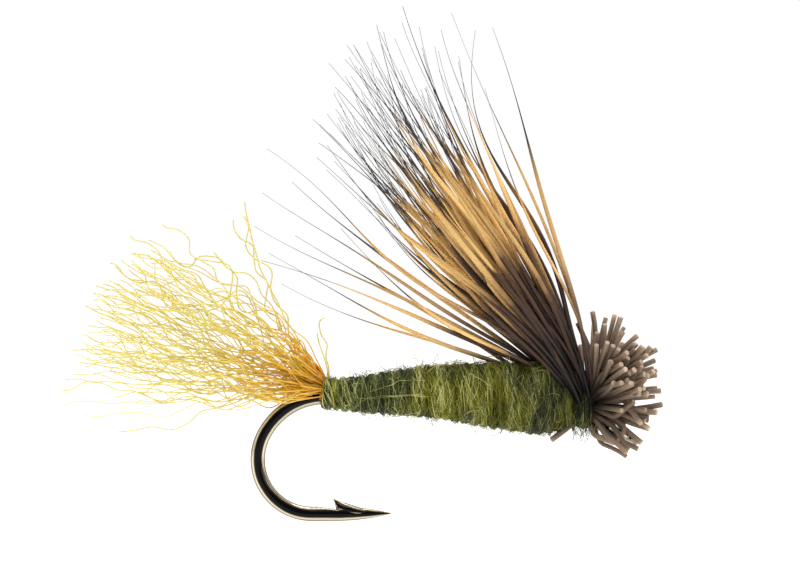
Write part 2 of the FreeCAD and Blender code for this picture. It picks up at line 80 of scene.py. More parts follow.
MM = 0.001
JOINTS = {joint["name"]: joint for joint in frame["joints"]}
SHANK_Z = JOINTS["wing_sway"]["pos_m"][2]
SHUCK_PIVOT = np.array(JOINTS["shuck_sway"]["pos_m"])
TURN = 2 * np.pi


def middle(node):
    """Centre of a CAD node's box."""
    low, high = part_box(node)
    return np.array((low + high) / 2)


def extent(node):
    """Size of a CAD node's box."""
    low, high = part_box(node)
    return np.array(high - low)


def span(node, across=2):
    """First x and last x of a CAD node's box, its centre's height, and half its size along one axis."""
    low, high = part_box(node)
    return low.x, high.x, middle(node)[2], extent(node)[across] / 2


def nodes_named(start):
    """The CAD nodes whose names start in one way."""
    return [name for name in frame["nodes"] if name.startswith(start)]


# ---------------------------------------------------------------- sizes and colours


def length(name, millimetres, description):
    """A length that a user can change."""
    return FloatProperty(
        name=name, description=description, default=millimetres * MM, unit="LENGTH", precision=5
    )


def angle(name, degrees, description):
    """An angle that a user can change."""
    return FloatProperty(
        name=name, description=description, default=np.radians(degrees), unit="ROTATION"
    )


def count(name, number, description):
    """A number of things that a user can change."""
    return IntProperty(name=name, description=description, default=number, min=1)


def colour(name, code, description):
    """A colour, kept as its sRGB hex code."""
    return StringProperty(name=name, description=description, default=code)


class FlyHook(bpy.types.PropertyGroup):
    wire: length("Wire", 0.475, "Hook wire diameter")
    upper_radius: length("Upper bend", 2.24, "Centreline radius of the upper bend")
    lower_radius: length("Lower bend", 1.735, "Centreline radius of the lower bend")
    bend_x: length("Bend start", -9.34, "Where the straight shank ends")
    neck_x: length("Neck start", -0.95, "Where the neck leaves the shank")
    upper_turn: angle("Upper turn", 66, "Turn on the upper radius")
    spear_lift: angle("Spear lift", 4, "Rise of the spear towards its point")
    spear: length("Spear", 0.78, "Full-diameter stretch of the spear")
    point: length("Point", 1.75, "Ground taper of the point")
    eye_radius: length("Eye", 0.46, "Centreline radius of the eye")
    eye_wire: length("Eye wire", 0.15, "Radius of the wire in the eye")
    eye_tilt: angle("Eye tilt", 26, "How far the eye is turned down")
    eye_roll: angle("Eye roll", 20, "Roll of the eye about its long axis")


class FlyBody(bpy.types.PropertyGroup):
    belly_x: length("Belly", -2.90, "Fattest place of the body")
    rear_radius: length("Rear radius", 0.44, "Radius at the rear")
    belly_radius: length("Belly radius", 1.09, "Radius at the belly")
    front_radius: length("Front radius", 0.40, "Radius at the front")
    rear_rise: length("Rear rise", 0.12, "Centre above the shank at the rear")
    belly_rise: length("Belly rise", 0.40, "Centre above the shank at the belly")
    front_rise: length("Front rise", 0.10, "Centre above the shank at the front")
    wrap: length("Wrap pitch", 0.30, "Spacing of the wraps of the dubbing rope")
    wrap_lean: length("Wrap lean", 0.13, "How far a wrap leans forward under the body")
    relief: length("Relief", 0.10, "Height of the rope above its grooves")
    fibres: count("Fibres", 2800, "Dubbing fibres wrapped in each layer")
    fuzz: count("Fuzz", 1100, "Dubbing fibres that stand off")


class FlyHair(bpy.types.PropertyGroup):
    wing_length: length("Wing length", 14.0, "Longest hair of the wing")
    hairs: count("Wing hairs", 118, "Hairs in the wing")
    hair: length("Hair", 0.086, "Radius of a deer hair at its thickest")
    tip: length("Tip", 0.006, "Radius of a hair tip")
    butts: count("Butts", 110, "Clipped hairs in front of the collar")
    butt: length("Butt", 0.086, "Radius of a clipped butt")


class FlyYarn(bpy.types.PropertyGroup):
    fibres: count("Fibres", 104, "Yarn fibres in the shuck")
    fibre: length("Fibre", 0.023, "Radius of a yarn fibre")
    shuck_length: length("Length", 8.5, "Longest fibre behind the binding")
    crimp: length("Crimp", 1.6, "Wavelength of the yarn's crimp")
    crimp_height: length("Crimp height", 0.12, "Height of the crimp's wave")
    thread: length("Thread", 0.05, "Radius of the tying thread")


class FlyColours(bpy.types.PropertyGroup):
    bronze: colour("Bronze", "#16171a", "Bronzed hook wire")
    thread: colour("Thread", "#191e0d", "Tying thread")
    yarn_pale: colour("Pale yarn", "#cabe64", "Yarn fibre in the light")
    yarn_gold: colour("Golden yarn", "#d6ad34", "Yarn fibre in the mass")
    yarn_brown: colour("Brown yarn", "#b0720e", "Yarn at the root")
    # painted shade: the dark olive stands for the shade in the grooves and between the fibres
    olive_dark: colour("Dark olive", "#171c0e", "Dubbing in the grooves")
    olive: colour("Olive", "#484d18", "Dubbing")
    olive_bright: colour("Bright olive", "#969624", "Dubbing fibres in the light")
    hair_root: colour("Hair root", "#423027", "Deer hair at the root")
    hair_amber: colour("Hair band", "#dab270", "Amber band of the deer hair")
    hair_tip: colour("Hair tip", "#222226", "Tip of the deer hair")
    butt: colour("Butt", "#695747", "Clipped butts")
    floor: colour("Floor", "#fbfbfa", "Floor of the stage")


class FlySettings(bpy.types.PropertyGroup):
    hook: PointerProperty(type=FlyHook)
    body: PointerProperty(type=FlyBody)
    hair: PointerProperty(type=FlyHair)
    yarn: PointerProperty(type=FlyYarn)
    colours: PointerProperty(type=FlyColours)


# ---------------------------------------------------------------- numpy geometry


def unit(vectors):
    """Vectors at length one."""
    return vectors / np.linalg.norm(vectors, axis=-1, keepdims=True)


def ease(values, low, high):
    """0 below low, 1 above high, and a smooth step between."""
    share = np.clip((values - low) / (high - low), 0, 1)
    return share * share * (3 - 2 * share)


def grid_object(name, rings, marks=None):
    """Closed tubes from an array of rings: tube, ring along it, corner round it, then x, y, z.
    Four-sided faces join each ring to the next, and one face closes each end."""
    tubes, stations, corners, _ = rings.shape
    index = np.arange(tubes * stations * corners).reshape(tubes, stations, corners)
    here, after = index[:, :-1], index[:, 1:]
    quads = np.stack(
        [here, np.roll(here, -1, axis=2), np.roll(after, -1, axis=2), after], axis=-1
    ).reshape(-1)
    ends = np.concatenate([index[:, 0, ::-1], index[:, -1]]).reshape(-1)
    quad_count, end_count = len(quads) // 4, 2 * tubes
    mesh = bpy.data.meshes.new(name)
    mesh.vertices.add(index.size)
    mesh.vertices.foreach_set("co", rings.astype(np.float32).reshape(-1))
    mesh.loops.add(len(quads) + len(ends))
    mesh.loops.foreach_set("vertex_index", np.concatenate([quads, ends]).astype(np.int32))
    mesh.polygons.add(quad_count + end_count)
    starts = np.concatenate(
        [np.arange(quad_count) * 4, len(quads) + np.arange(end_count) * corners]
    )
    mesh.polygons.foreach_set("loop_start", starts.astype(np.int32))
    mesh.polygons.foreach_set("use_smooth", np.ones(quad_count + end_count, bool))
    mesh.update(calc_edges=True)
    mesh.validate()
    for mark, values in (marks or {}).items():
        full = np.broadcast_to(values.reshape(tubes, -1, 1), (tubes, stations, corners))
        store = mesh.attributes.new(mark, "FLOAT", "POINT")
        store.data.foreach_set("value", full.astype(np.float32).reshape(-1))
    piece = bpy.data.objects.new(name, mesh)
    bpy.context.scene.collection.objects.link(piece)
    return piece


def rings_round(lines, radii, first, second, corners):
    """Rings along lines: a centre plus the radius times the cosine and sine of equal angles, along two
    directions square to the line."""
    turn = np.arange(corners) * TURN / corners
    circle = np.cos(turn)[:, None] * first[:, :, None] + np.sin(turn)[:, None] * second[:, :, None]
    return lines[:, :, None] + radii[..., None, None] * circle


def sweep(lines, radii, corners):
    """Rings along many centre lines at once. Of the two directions square to a line, the first is one
    fixed direction per line with its part along the line taken away, and the second is square to it."""
    tangents = unit(np.gradient(lines, axis=1))
    mean = unit(lines[:, -1] - lines[:, 0] + 1e-9)
    upright = np.where(abs(mean[:, 2:]) < 0.75, [[0.0, 0.0, 1.0]], [[0.0, 1.0, 0.0]])
    fixed = unit(np.cross(mean, upright))[:, None, :]
    first = unit(fixed - (fixed * tangents).sum(-1, keepdims=True) * tangents)
    return rings_round(lines, radii, first, np.cross(tangents, first), corners)


def sweep_turning(line, radius, corners):
    """Rings along one line that turns right round, as a bend or a winding does. The first direction is
    carried from each ring to the next, less its part along the line, so that nothing twists."""
    tangents = unit(np.gradient(line, axis=1))
    first = np.zeros_like(tangents)
    normal = np.array([0.0, 1.0, 0.0])
    for n in range(line.shape[1]):
        normal = unit(normal - tangents[0, n] * (normal @ tangents[0, n]))
        first[0, n] = normal
    return rings_round(line, radius, first, np.cross(tangents, first), corners)


def strands(name, lines, radii, corners, tones, share=None):
    """Swept tubes that carry two marks for their material: along, 0 at the root and 1 at the tip, and
    strand, one random value for each tube."""
    share = np.linspace(0, 1, lines.shape[1]) if share is None else share
    marks = {
        "along": np.broadcast_to(share, lines.shape[:2]),
        "strand": np.broadcast_to(tones[:, None], lines.shape[:2]),
    }
    return grid_object(name, sweep(lines, radii, corners), marks)


def integrate(root, heading, distance):
    """Line from a root: the running sum of the heading times each step of distance."""
    step = np.diff(distance, axis=1)[..., None] * (heading[:, 1:] + heading[:, :-1]) / 2
    path = np.cumsum(step, axis=1)
    return root[:, None] + np.concatenate([np.zeros_like(path[:, :1]), path], axis=1)


def helix(start_x, end_x, turns, radius, height, steps, wobble=0.0, phase=0.0):
    """One turn after another round the shank: x runs evenly from start to end, with a slow wobble, while
    the angle runs through the turns at one radius about an axis at a height."""
    share = np.linspace(0, 1, int(turns * steps))
    turned = share * turns * TURN + phase
    x = start_x + (end_x - start_x) * share + wobble * np.sin(turned * 0.37 + phase)
    y = radius * np.sin(turned)
    z = height + radius * np.cos(turned)
    return np.stack([x, y, z], axis=-1)[None]


# ---------------------------------------------------------------- materials


def linear(code, level=1.0):
    """An sRGB hex code as the linear colour that a shader takes, darkened by a level under 1."""
    parts = np.array([int(code[n:n + 2], 16) / 255 for n in (1, 3, 5)])
    low, high = parts / 12.92, ((parts + 0.055) / 1.055) ** 2.4
    return (*(level * np.where(parts <= 0.04045, low, high)), 1.0)


def join(tree, node, inputs):
    """Gives each named input of a node a value, or a link from another node's socket."""
    for name, value in inputs.items():
        if isinstance(value, bpy.types.NodeSocket):
            tree.links.new(value, node.inputs[name])
        else:
            node.inputs[name].default_value = value


def add(tree, kind, inputs=None, **settings):
    """Adds a node with its own settings first, because they decide which inputs it has."""
    made = tree.nodes.new(kind)
    for name, value in settings.items():
        setattr(made, name, value)
    join(tree, made, inputs or {})
    return made


def new_material(name, inputs):
    """A material with a Principled shader and its constants. Returns it, its tree and the shader."""
    made = bpy.data.materials.new(name)
    made.use_nodes = True
    tree = made.node_tree
    tree.nodes.clear()
    shader = add(tree, "ShaderNodeBsdfPrincipled", inputs)
    add(tree, "ShaderNodeOutputMaterial", {"Surface": shader.outputs["BSDF"]})
    return made, tree, shader


def mark(tree, name):
    """A value that the mesh carries at each point."""
    return add(tree, "ShaderNodeAttribute", attribute_name=name).outputs["Fac"]


def object_place(tree):
    """The place on the piece, in metres."""
    return add(tree, "ShaderNodeTexCoord").outputs["Object"]


def noise(tree, where, size, detail=2.0):
    """Noise whose blotches have a real size, in metres."""
    inputs = {"Vector": where, "Scale": 1 / size, "Detail": detail}
    return add(tree, "ShaderNodeTexNoise", inputs).outputs["Fac"]


def ranged(tree, value, to_low, to_high, from_low=0.0, from_high=1.0):
    """A value carried from one range over to another."""
    source = {"Value": value, "From Min": from_low, "From Max": from_high}
    target = {"To Min": to_low, "To Max": to_high}
    return add(tree, "ShaderNodeMapRange", source | target).outputs["Result"]


def computed(tree, operation, *values):
    """One sum on numbers or sockets."""
    return add(tree, "ShaderNodeMath", dict(enumerate(values)), operation=operation).outputs[0]


def ramp(tree, place, stops):
    """A colour that depends on a place from 0 to 1. A stop is a place, a hex code and maybe a level."""
    node = add(tree, "ShaderNodeValToRGB", {"Fac": place})
    elements = node.color_ramp.elements
    while len(elements) < len(stops):
        elements.new(0.5)
    for element, (position, code, *level) in zip(elements, stops):
        element.position = position
        element.color = linear(code, *level)
    return node.outputs["Color"]


def scaled(tree, shade, level):
    """A colour made lighter or darker."""
    return add(tree, "ShaderNodeVectorMath", {0: shade, "Scale": level}, operation="SCALE").outputs["Vector"]


def stretched(tree, where, scale, shift=0.0):
    """A place squeezed along each axis, after a shift along X."""
    inputs = {"Vector": where, "Location": (shift, 0, 0), "Scale": scale}
    return add(tree, "ShaderNodeMapping", inputs).outputs["Vector"]


def bumped(tree, height, strength, depth):
    """A surface direction that follows a height."""
    inputs = {"Height": height, "Strength": strength, "Distance": depth}
    return add(tree, "ShaderNodeBump", inputs).outputs["Normal"]


def bronzed_steel_wire(colours):
    """Carbon steel wire, drawn, forged, bronzed and lacquered. Face on, the bronzing is nearly black;
    towards its edges the base colour is painted cream by the facing angle, a painted reflection of the
    bright surroundings. Faint drawing marks break up the gloss."""
    made, tree, shader = new_material("bronzed_steel_wire", {"Metallic": 1.0})
    where = object_place(tree)
    cloud, grain = noise(tree, where, 0.9 * MM, 4.0), noise(tree, where, 0.05 * MM)
    bump = bumped(tree, grain, 0.12, 0.004 * MM)
    edge = add(tree, "ShaderNodeLayerWeight", {"Blend": 0.5, "Normal": bump}).outputs["Facing"]
    place = computed(tree, "ADD", edge, ranged(tree, cloud, -0.06, 0.06))
    # painted reflection: the ramp turns the wire cream and grey towards its edges as the facing angle grows
    stops = [
        (0.0, colours.bronze), (0.13, "#231f1b"), (0.22, "#bdb298"), (0.31, "#d8cdb2"), (0.46, "#7d7263"),
        (0.80, "#655b4d"),
    ]
    roughness = ranged(tree, cloud, 0.12, 0.24)
    join(tree, shader, {"Base Color": ramp(tree, place, stops), "Roughness": roughness, "Normal": bump})
    return made


def twisted_thread(colours):
    """Waxed multifilament tying thread. Its filaments are twisted, so fine slanted lights run round each
    turn, and the wax gives a soft sheen."""
    made, tree, shader = new_material("waxed_tying_thread", {"Roughness": 0.42, "Specular IOR Level": 0.25})
    where = object_place(tree)
    filament = noise(tree, where, 0.03 * MM, 3.0)
    mixed = computed(tree, "MULTIPLY", filament, noise(tree, where, 0.35 * MM))
    place = computed(tree, "MULTIPLY_ADD", mark(tree, "along"), 0.02, mixed)
    tone = ramp(tree, place, [(0.12, colours.thread, 0.35), (0.28, colours.thread), (0.5, "#6c7424")])
    join(tree, shader, {"Base Color": tone, "Normal": bumped(tree, filament, 0.5, 0.01 * MM)})
    return made


def head_lacquer():
    """Clear cellulose lacquer, brushed on and self-levelled, so it reads as a wet film over thread."""
    clear = {"Transmission Weight": 1.0, "IOR": 1.47, "Roughness": 0.04}
    made, tree, shader = new_material("clear_head_lacquer", clear)
    flow = noise(tree, object_place(tree), 0.2 * MM)
    tone = ramp(tree, flow, [(0.3, "#f4f2e4"), (0.7, "#ffffff")])
    join(tree, shader, {"Base Color": tone, "Normal": bumped(tree, flow, 0.2, 0.02 * MM)})
    return made


def banded_hair(name, stops, spread, roughness=0.42):
    """Hollow deer hair: a smooth cuticle with a satin gloss, whose colour runs in bands from root to tip.
    Each hair's bands start a little higher or lower, and its tone is its own."""
    made, tree, shader = new_material(name, {"Roughness": roughness, "Specular IOR Level": 0.2})
    strand, where = mark(tree, "strand"), object_place(tree)
    moved = computed(tree, "ADD", mark(tree, "along"), ranged(tree, strand, -spread, spread))
    ripple = ranged(tree, noise(tree, where, 0.5 * MM, 3.0), -0.05, 0.05)
    bands = ramp(tree, computed(tree, "ADD", moved, ripple), stops)
    # a second random value from the first, so that tone and band place don't go together
    own = computed(tree, "FRACT", computed(tree, "MULTIPLY", strand, 37.7))
    grain = noise(tree, where, 0.07 * MM)
    level = computed(tree, "MULTIPLY", ranged(tree, own, 0.62, 1.22), ranged(tree, grain, 0.85, 1.15))
    bump = bumped(tree, grain, 0.25, 0.01 * MM)
    join(tree, shader, {"Base Color": scaled(tree, bands, level), "Normal": bump})
    return made


def crimped_yarn(colours):
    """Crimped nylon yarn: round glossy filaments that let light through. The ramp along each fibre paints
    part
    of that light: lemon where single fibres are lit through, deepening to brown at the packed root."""
    made, tree, shader = new_material("crimped_nylon_yarn", {
        "Roughness": 0.3, "Subsurface Weight": 1.0, "Subsurface Radius": (1.0, 0.8, 0.35),
        "Subsurface Scale": 0.04 * MM,
    })
    shift = ranged(tree, mark(tree, "strand"), -0.08, 0.16)
    place = computed(tree, "ADD", mark(tree, "along"), shift)
    stops = [
        (0.02, colours.yarn_brown), (0.10, "#d2951c"), (0.24, colours.yarn_gold), (0.60, colours.yarn_pale),
    ]
    join(tree, shader, {"Base Color": ramp(tree, place, stops)})
    return made


def dubbing(name, mossy, yellow, paint_groove_shade):
    """Clipped fur dubbing, twisted and wrapped: a matt mix of olive shades. Each wrap has a tone of its
    own, mossy or yellow, so the noise is stretched round the body, and painted shade darkens the grooves."""
    made, tree, shader = new_material(name, {"Roughness": 0.55, "Specular IOR Level": 0.2})
    where = object_place(tree)
    forward = add(tree, "ShaderNodeSeparateXYZ", {"Vector": where}).outputs["X"]
    wraps = noise(tree, stretched(tree, where, (1.0, 0.22, 0.22)), 0.5 * MM)
    place = computed(tree, "ADD", mark(tree, "strand"), ranged(tree, wraps, -0.28, 0.28, 0.3, 0.7))
    # the front of the body was dubbed from a yellower pinch of fur than the rear
    families = noise(tree, stretched(tree, where, (1.0, 0.4, 0.4), 7 * MM), 0.9 * MM, 1.0)
    family = computed(tree, "ADD", families, ranged(tree, forward, -0.12, 0.08, -8.5 * MM, -3.5 * MM))
    share = ranged(tree, family, 0.0, 1.0, 0.42, 0.58)
    # a mix of colours has its share at input 0 and its two colours at inputs 6 and 7
    both = {0: share, 6: ramp(tree, place, mossy), 7: ramp(tree, place, yellow)}
    mixed = add(tree, "ShaderNodeMix", both, data_type="RGBA").outputs[2]
    # painted shadow: the fur is darkened towards the collar, where the wing overhead shades it
    shade = scaled(tree, mixed, ranged(tree, forward, 1.08, 0.50, -6.5 * MM, -1.8 * MM))
    if paint_groove_shade:
        # painted shade: the core is darkened where the rope sinks into its grooves
        shade = scaled(tree, shade, ranged(tree, mark(tree, "along"), 0.16, 1.0))
    join(tree, shader, {"Base Color": shade})
    return made


def studio_paper(colours):
    """Matt white background paper, with the faintest felt so that it isn't a flat colour."""
    made, tree, shader = new_material("studio_paper", {"Roughness": 0.9})
    felt = noise(tree, object_place(tree), 2 * MM)
    join(tree, shader, {"Base Color": ramp(tree, felt, [(0.3, "#f8f8f7"), (0.7, colours.floor)])})
    return made


def finish_piece(piece, material, bends_to=None):
    """Gives a piece its material. It rides on the root body, or, when bends_to names another body, only
    has its placing baked into its mesh and is attached to no body."""
    piece.data.materials.append(material)
    if bends_to:
        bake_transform(piece)
    else:
        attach(piece, "root")
    return piece


# ---------------------------------------------------------------- hook


def arc(centre, radius, start, end, steps):
    """Points of a circle's arc in the XZ plane, between two angles from +X towards +Z."""
    turned = np.linspace(start, end, steps)
    return centre + radius * np.stack([np.cos(turned), 0 * turned, np.sin(turned)], -1)


def straight(start, end, steps):
    """Evenly spaced points from start up to, but not at, end."""
    share = np.linspace(0, 1, steps, endpoint=False)[:, None]
    return np.asarray(start) * (1 - share) + np.asarray(end) * share


def eye_directions(hook):
    """Long axis of the eye, the axis of its bore, and the direction square to both."""
    long_axis = np.array([np.cos(hook.eye_tilt), 0, -np.sin(hook.eye_tilt)])
    upwards = np.array([np.sin(hook.eye_tilt), 0, np.cos(hook.eye_tilt)])
    bore = upwards * np.cos(hook.eye_roll) + np.array([0, -1, 0]) * np.sin(hook.eye_roll)
    return long_axis, bore, np.cross(bore, long_axis)


def spear_axes(hook):
    """Start of the spear, the direction towards the point, and the direction across it, upwards."""
    upper_centre = np.array([hook.bend_x, 0, SHANK_Z - hook.upper_radius])
    turned = np.pi / 2 + hook.upper_turn
    inward = np.array([np.cos(turned), 0, np.sin(turned)])
    lower_centre = upper_centre + inward * (hook.upper_radius - hook.lower_radius)
    end = 1.5 * np.pi + hook.spear_lift
    start = lower_centre + hook.lower_radius * np.array([np.cos(end), 0, np.sin(end)])
    towards = np.array([np.cos(hook.spear_lift), 0, np.sin(hook.spear_lift)])
    across = np.array([-np.sin(hook.spear_lift), 0, np.cos(hook.spear_lift)])
    return upper_centre, lower_centre, start, towards, across


SPEAR_STATIONS, POINT_STATIONS, EYE_STATIONS, NECK_STATIONS = 44, 44, 72, 14


def hook_line(hook):
    """Centre line and radius of the wire, from its point round the bend and along the shank to the eye."""
    upper_centre, lower_centre, start, towards, _ = spear_axes(hook)
    tip = start + towards * (hook.spear + hook.point)
    shoulder = start + towards * hook.spear
    turned = np.pi / 2 + hook.upper_turn
    lower = arc(lower_centre, hook.lower_radius, 1.5 * np.pi + hook.spear_lift, turned, 64)
    upper = arc(upper_centre, hook.upper_radius, turned, np.pi / 2, 56)
    shank_rear = np.array([hook.bend_x, 0, SHANK_Z])
    shank_front = np.array([hook.neck_x, 0, SHANK_Z])
    long_axis, bore, side = eye_directions(hook)
    neck_end = -long_axis * (hook.eye_radius * 0.98)
    # the neck: a smooth bend from the shank's direction to the eye's long axis
    share = np.linspace(0, 1, NECK_STATIONS, endpoint=False)[:, None]
    reach = np.linalg.norm(neck_end - shank_front) * 0.45
    first, second = shank_front + np.array([1, 0, 0]) * reach, neck_end - long_axis * reach
    neck = (
        (1 - share) ** 3 * shank_front + 3 * (1 - share) ** 2 * share * first
        + 3 * (1 - share) * share ** 2 * second + share ** 3 * neck_end
    )
    # the eye: one turn of the wire, which leaves the neck sideways and comes back beside it
    turned = np.linspace(np.pi, -np.pi * 0.86, EYE_STATIONS)[:, None]
    ring = hook.eye_radius * (long_axis * np.cos(turned) + side * np.sin(turned))
    line = np.concatenate([
        straight(tip, shoulder, POINT_STATIONS), straight(shoulder, start, SPEAR_STATIONS), lower[:-1],
        upper[:-1], straight(shank_rear, shank_front, 30), neck, ring,
    ])
    wire = hook.wire / 2
    from_tip = np.linalg.norm(line - tip, axis=1)
    ground = np.where(np.arange(len(line)) < POINT_STATIONS, np.clip(from_tip / hook.point, 0, 1), 1.0)
    radius = 0.01 * MM + (wire - 0.01 * MM) * np.sin(ground * np.pi / 2) ** 0.85
    before_eye = len(line) - EYE_STATIONS
    radius[before_eye - NECK_STATIONS:before_eye] = np.linspace(wire, hook.eye_wire * 1.08, NECK_STATIONS)
    radius[before_eye:] = hook.eye_wire * np.linspace(1.0, 0.96, EYE_STATIONS)
    radius[-10:] *= np.linspace(1, 0.35, 10) ** 0.6
    return line[None], radius[None]


def notched(hook, rings):
    """The chisel cut that raised the barb: a flat that deepens towards the barb's root. Points above it
    are brought down to it."""
    _, _, start, towards, across = spear_axes(hook)
    local = rings - start
    forward, above = local @ towards, local @ across
    depth = 0.10 * MM * np.clip((forward - 0.16 * MM) / (0.66 * MM), 0, 1)
    flat = np.where((forward > 0) & (forward < 0.84 * MM), hook.wire / 2 - depth, np.inf)
    lowered = np.where(abs(local[..., 1]) < hook.wire, np.minimum(above, flat), above)
    near = (above > 0) & (np.linalg.norm(local - forward[..., None] * towards, axis=-1) < hook.wire)
    return rings + across * np.where(near, lowered - above, 0)[..., None]


def barb_rings(hook, corners=16, stations=28):
    """The barb: flattened ovals from its buried foot to its raised tip. Along the way the top edge rises
    on a gentle hollow, and the bottom edge lifts clear of the wire over the last fifth."""
    _, _, start, towards, across = spear_axes(hook)
    share = np.linspace(0, 1, stations)
    wire = hook.wire / 2
    along = hook.spear + 1.0 * MM - share * 1.13 * MM
    top = wire * 0.55 + (0.26 * MM + wire * 0.45) * share ** 1.08
    bottom = -wire * 0.2 + (0.26 * MM + wire * 1.2 - 0.012 * MM) * ease(share, 0.80, 1.0) ** 1.4
    half_height = np.maximum((top - bottom) / 2, 0.006 * MM)
    half_width = 0.225 * MM * np.sin(np.pi * (0.15 + 0.85 * share)) ** 0.8 + 0.008 * MM
    turned = np.arange(corners) * TURN / corners
    centre = start + towards * along[:, None] + across * ((top + bottom) / 2)[:, None]
    rings = (
        centre[:, None] + across * (half_height[:, None] * np.cos(turned))[..., None]
        + np.array([0, 1, 0]) * (half_width[:, None] * np.sin(turned))[..., None]
    )
    return rings[None]


class FLY_OT_hook(bpy.types.Operator):
    """Forged and bronzed hook, with its barb and its turned-down eye"""

    bl_idname = "fly.hook"
    bl_label = "Hook"

    def execute(self, context):
        settings = context.scene.fly
        steel = bronzed_steel_wire(settings.colours)
        line, radius = hook_line(settings.hook)
        wire = grid_object("hook_wire", notched(settings.hook, sweep_turning(line, radius, 40)))
        finish_piece(wire, steel)
        barb = grid_object("hook_barb", barb_rings(settings.hook))
        finish_piece(barb, steel)
        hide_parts("hook")
        return {"FINISHED"}


# ---------------------------------------------------------------- thread


class FLY_OT_thread(bpy.types.Operator):
    """Tying thread: base on the shank, rear binding, collar and whip finish, with its lacquer"""

    bl_idname = "fly.thread"
    bl_label = "Thread"

    def execute(self, context):
        settings = context.scene.fly
        material = twisted_thread(settings.colours)
        radius = settings.yarn.thread
        base_low, base_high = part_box("thread_base")
        base_turns = (base_high.x - base_low.x) / (1.9 * radius)
        base_radius = extent("thread_base")[2] / 2 - radius * 0.55
        base = self.wrap(
            "shank_thread", helix(base_low.x, base_high.x, base_turns, base_radius, SHANK_Z, 16),
            radius * 0.55, material,
        )
        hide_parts("thread_base")
        rear = self.binding("rear_wraps", radius, 5.2, 0.02 * MM)
        binding = self.wrap("rear_binding", rear, radius, material)
        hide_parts("rear_wraps")
        tight = self.binding("wing_collar", radius, 6.3, 0.05 * MM)
        collar = self.wrap("collar_thread", tight, radius, material)
        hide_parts("wing_collar")
        self.head(settings, material)
        return {"FINISHED"}

    def binding(self, node, radius, turns, wobble):
        """Turns forward over a CAD node's length and back again a little higher, as thread is wound."""
        rear, front, height, outer = span(node)
        wound, steps = outer - radius, 28
        there = helix(rear + radius, front - radius, turns, wound, height, steps, wobble)
        back = helix(
            front - radius, rear + radius * 2, turns * 0.8, wound + radius * 0.7, height, steps, wobble, 1.1
        )
        return [there, back]

    def wrap(self, name, lines, radius, material):
        """A wound thread as one piece, from one line or from several lines of their own lengths."""
        lines = lines if isinstance(lines, list) else [lines]
        stations = max(line.shape[1] for line in lines)
        share = np.linspace(0, 1, stations)
        radii = np.full((1, stations), radius)
        rings = []
        for line in lines:
            own = np.linspace(0, 1, line.shape[1])
            even = np.stack([np.interp(share, own, line[0, :, axis]) for axis in range(3)], -1)
            rings.append(sweep_turning(even[None], radii, 8))
        marks = {"along": np.broadcast_to(share, (len(lines), stations))}
        return finish_piece(grid_object(name, np.concatenate(rings), marks), material)

    def head(self, settings, material):
        """Whip finish: turns about the neck's own direction, then a film of lacquer that follows them."""
        radius = settings.yarn.thread
        stations, centre = 150, middle("head_wraps")
        neck = unit(-eye_directions(settings.hook)[0] * settings.hook.eye_radius
                    - np.array([settings.hook.neck_x, 0, SHANK_Z]))
        side = np.array([0.0, 1.0, 0.0])
        upright = np.cross(neck, side)
        turned = np.linspace(0, 4.3 * TURN, stations)
        distance = np.linspace(-0.13 * MM, 0.13 * MM, stations)
        wound = extent("head_wraps")[1] / 2 - radius
        line = (
            centre + neck * distance[:, None]
            + wound * (side * np.sin(turned)[:, None] + upright * np.cos(turned)[:, None])
        )[None]
        marks = {"along": np.linspace(0, 1, stations)[None]}
        wraps = grid_object("whip_finish", sweep_turning(line, np.full((1, stations), radius), 8), marks)
        finish_piece(wraps, material)
        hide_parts("head_wraps")
        share = np.linspace(0, 1, 40)
        swell = np.sin(share * np.pi) ** 0.25
        ripple = 1 + 0.03 * np.cos(share * 3 * TURN)
        film_radius = (wound + radius * 1.05) * ripple * (0.55 + 0.45 * swell)
        film_line = (centre + neck * ((share - 0.5) * 0.40 * MM)[:, None])[None]
        film = grid_object("lacquer_film", sweep_turning(film_line, film_radius[None], 40))
        finish_piece(film, head_lacquer())
        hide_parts("head_cement")


# ---------------------------------------------------------------- shuck


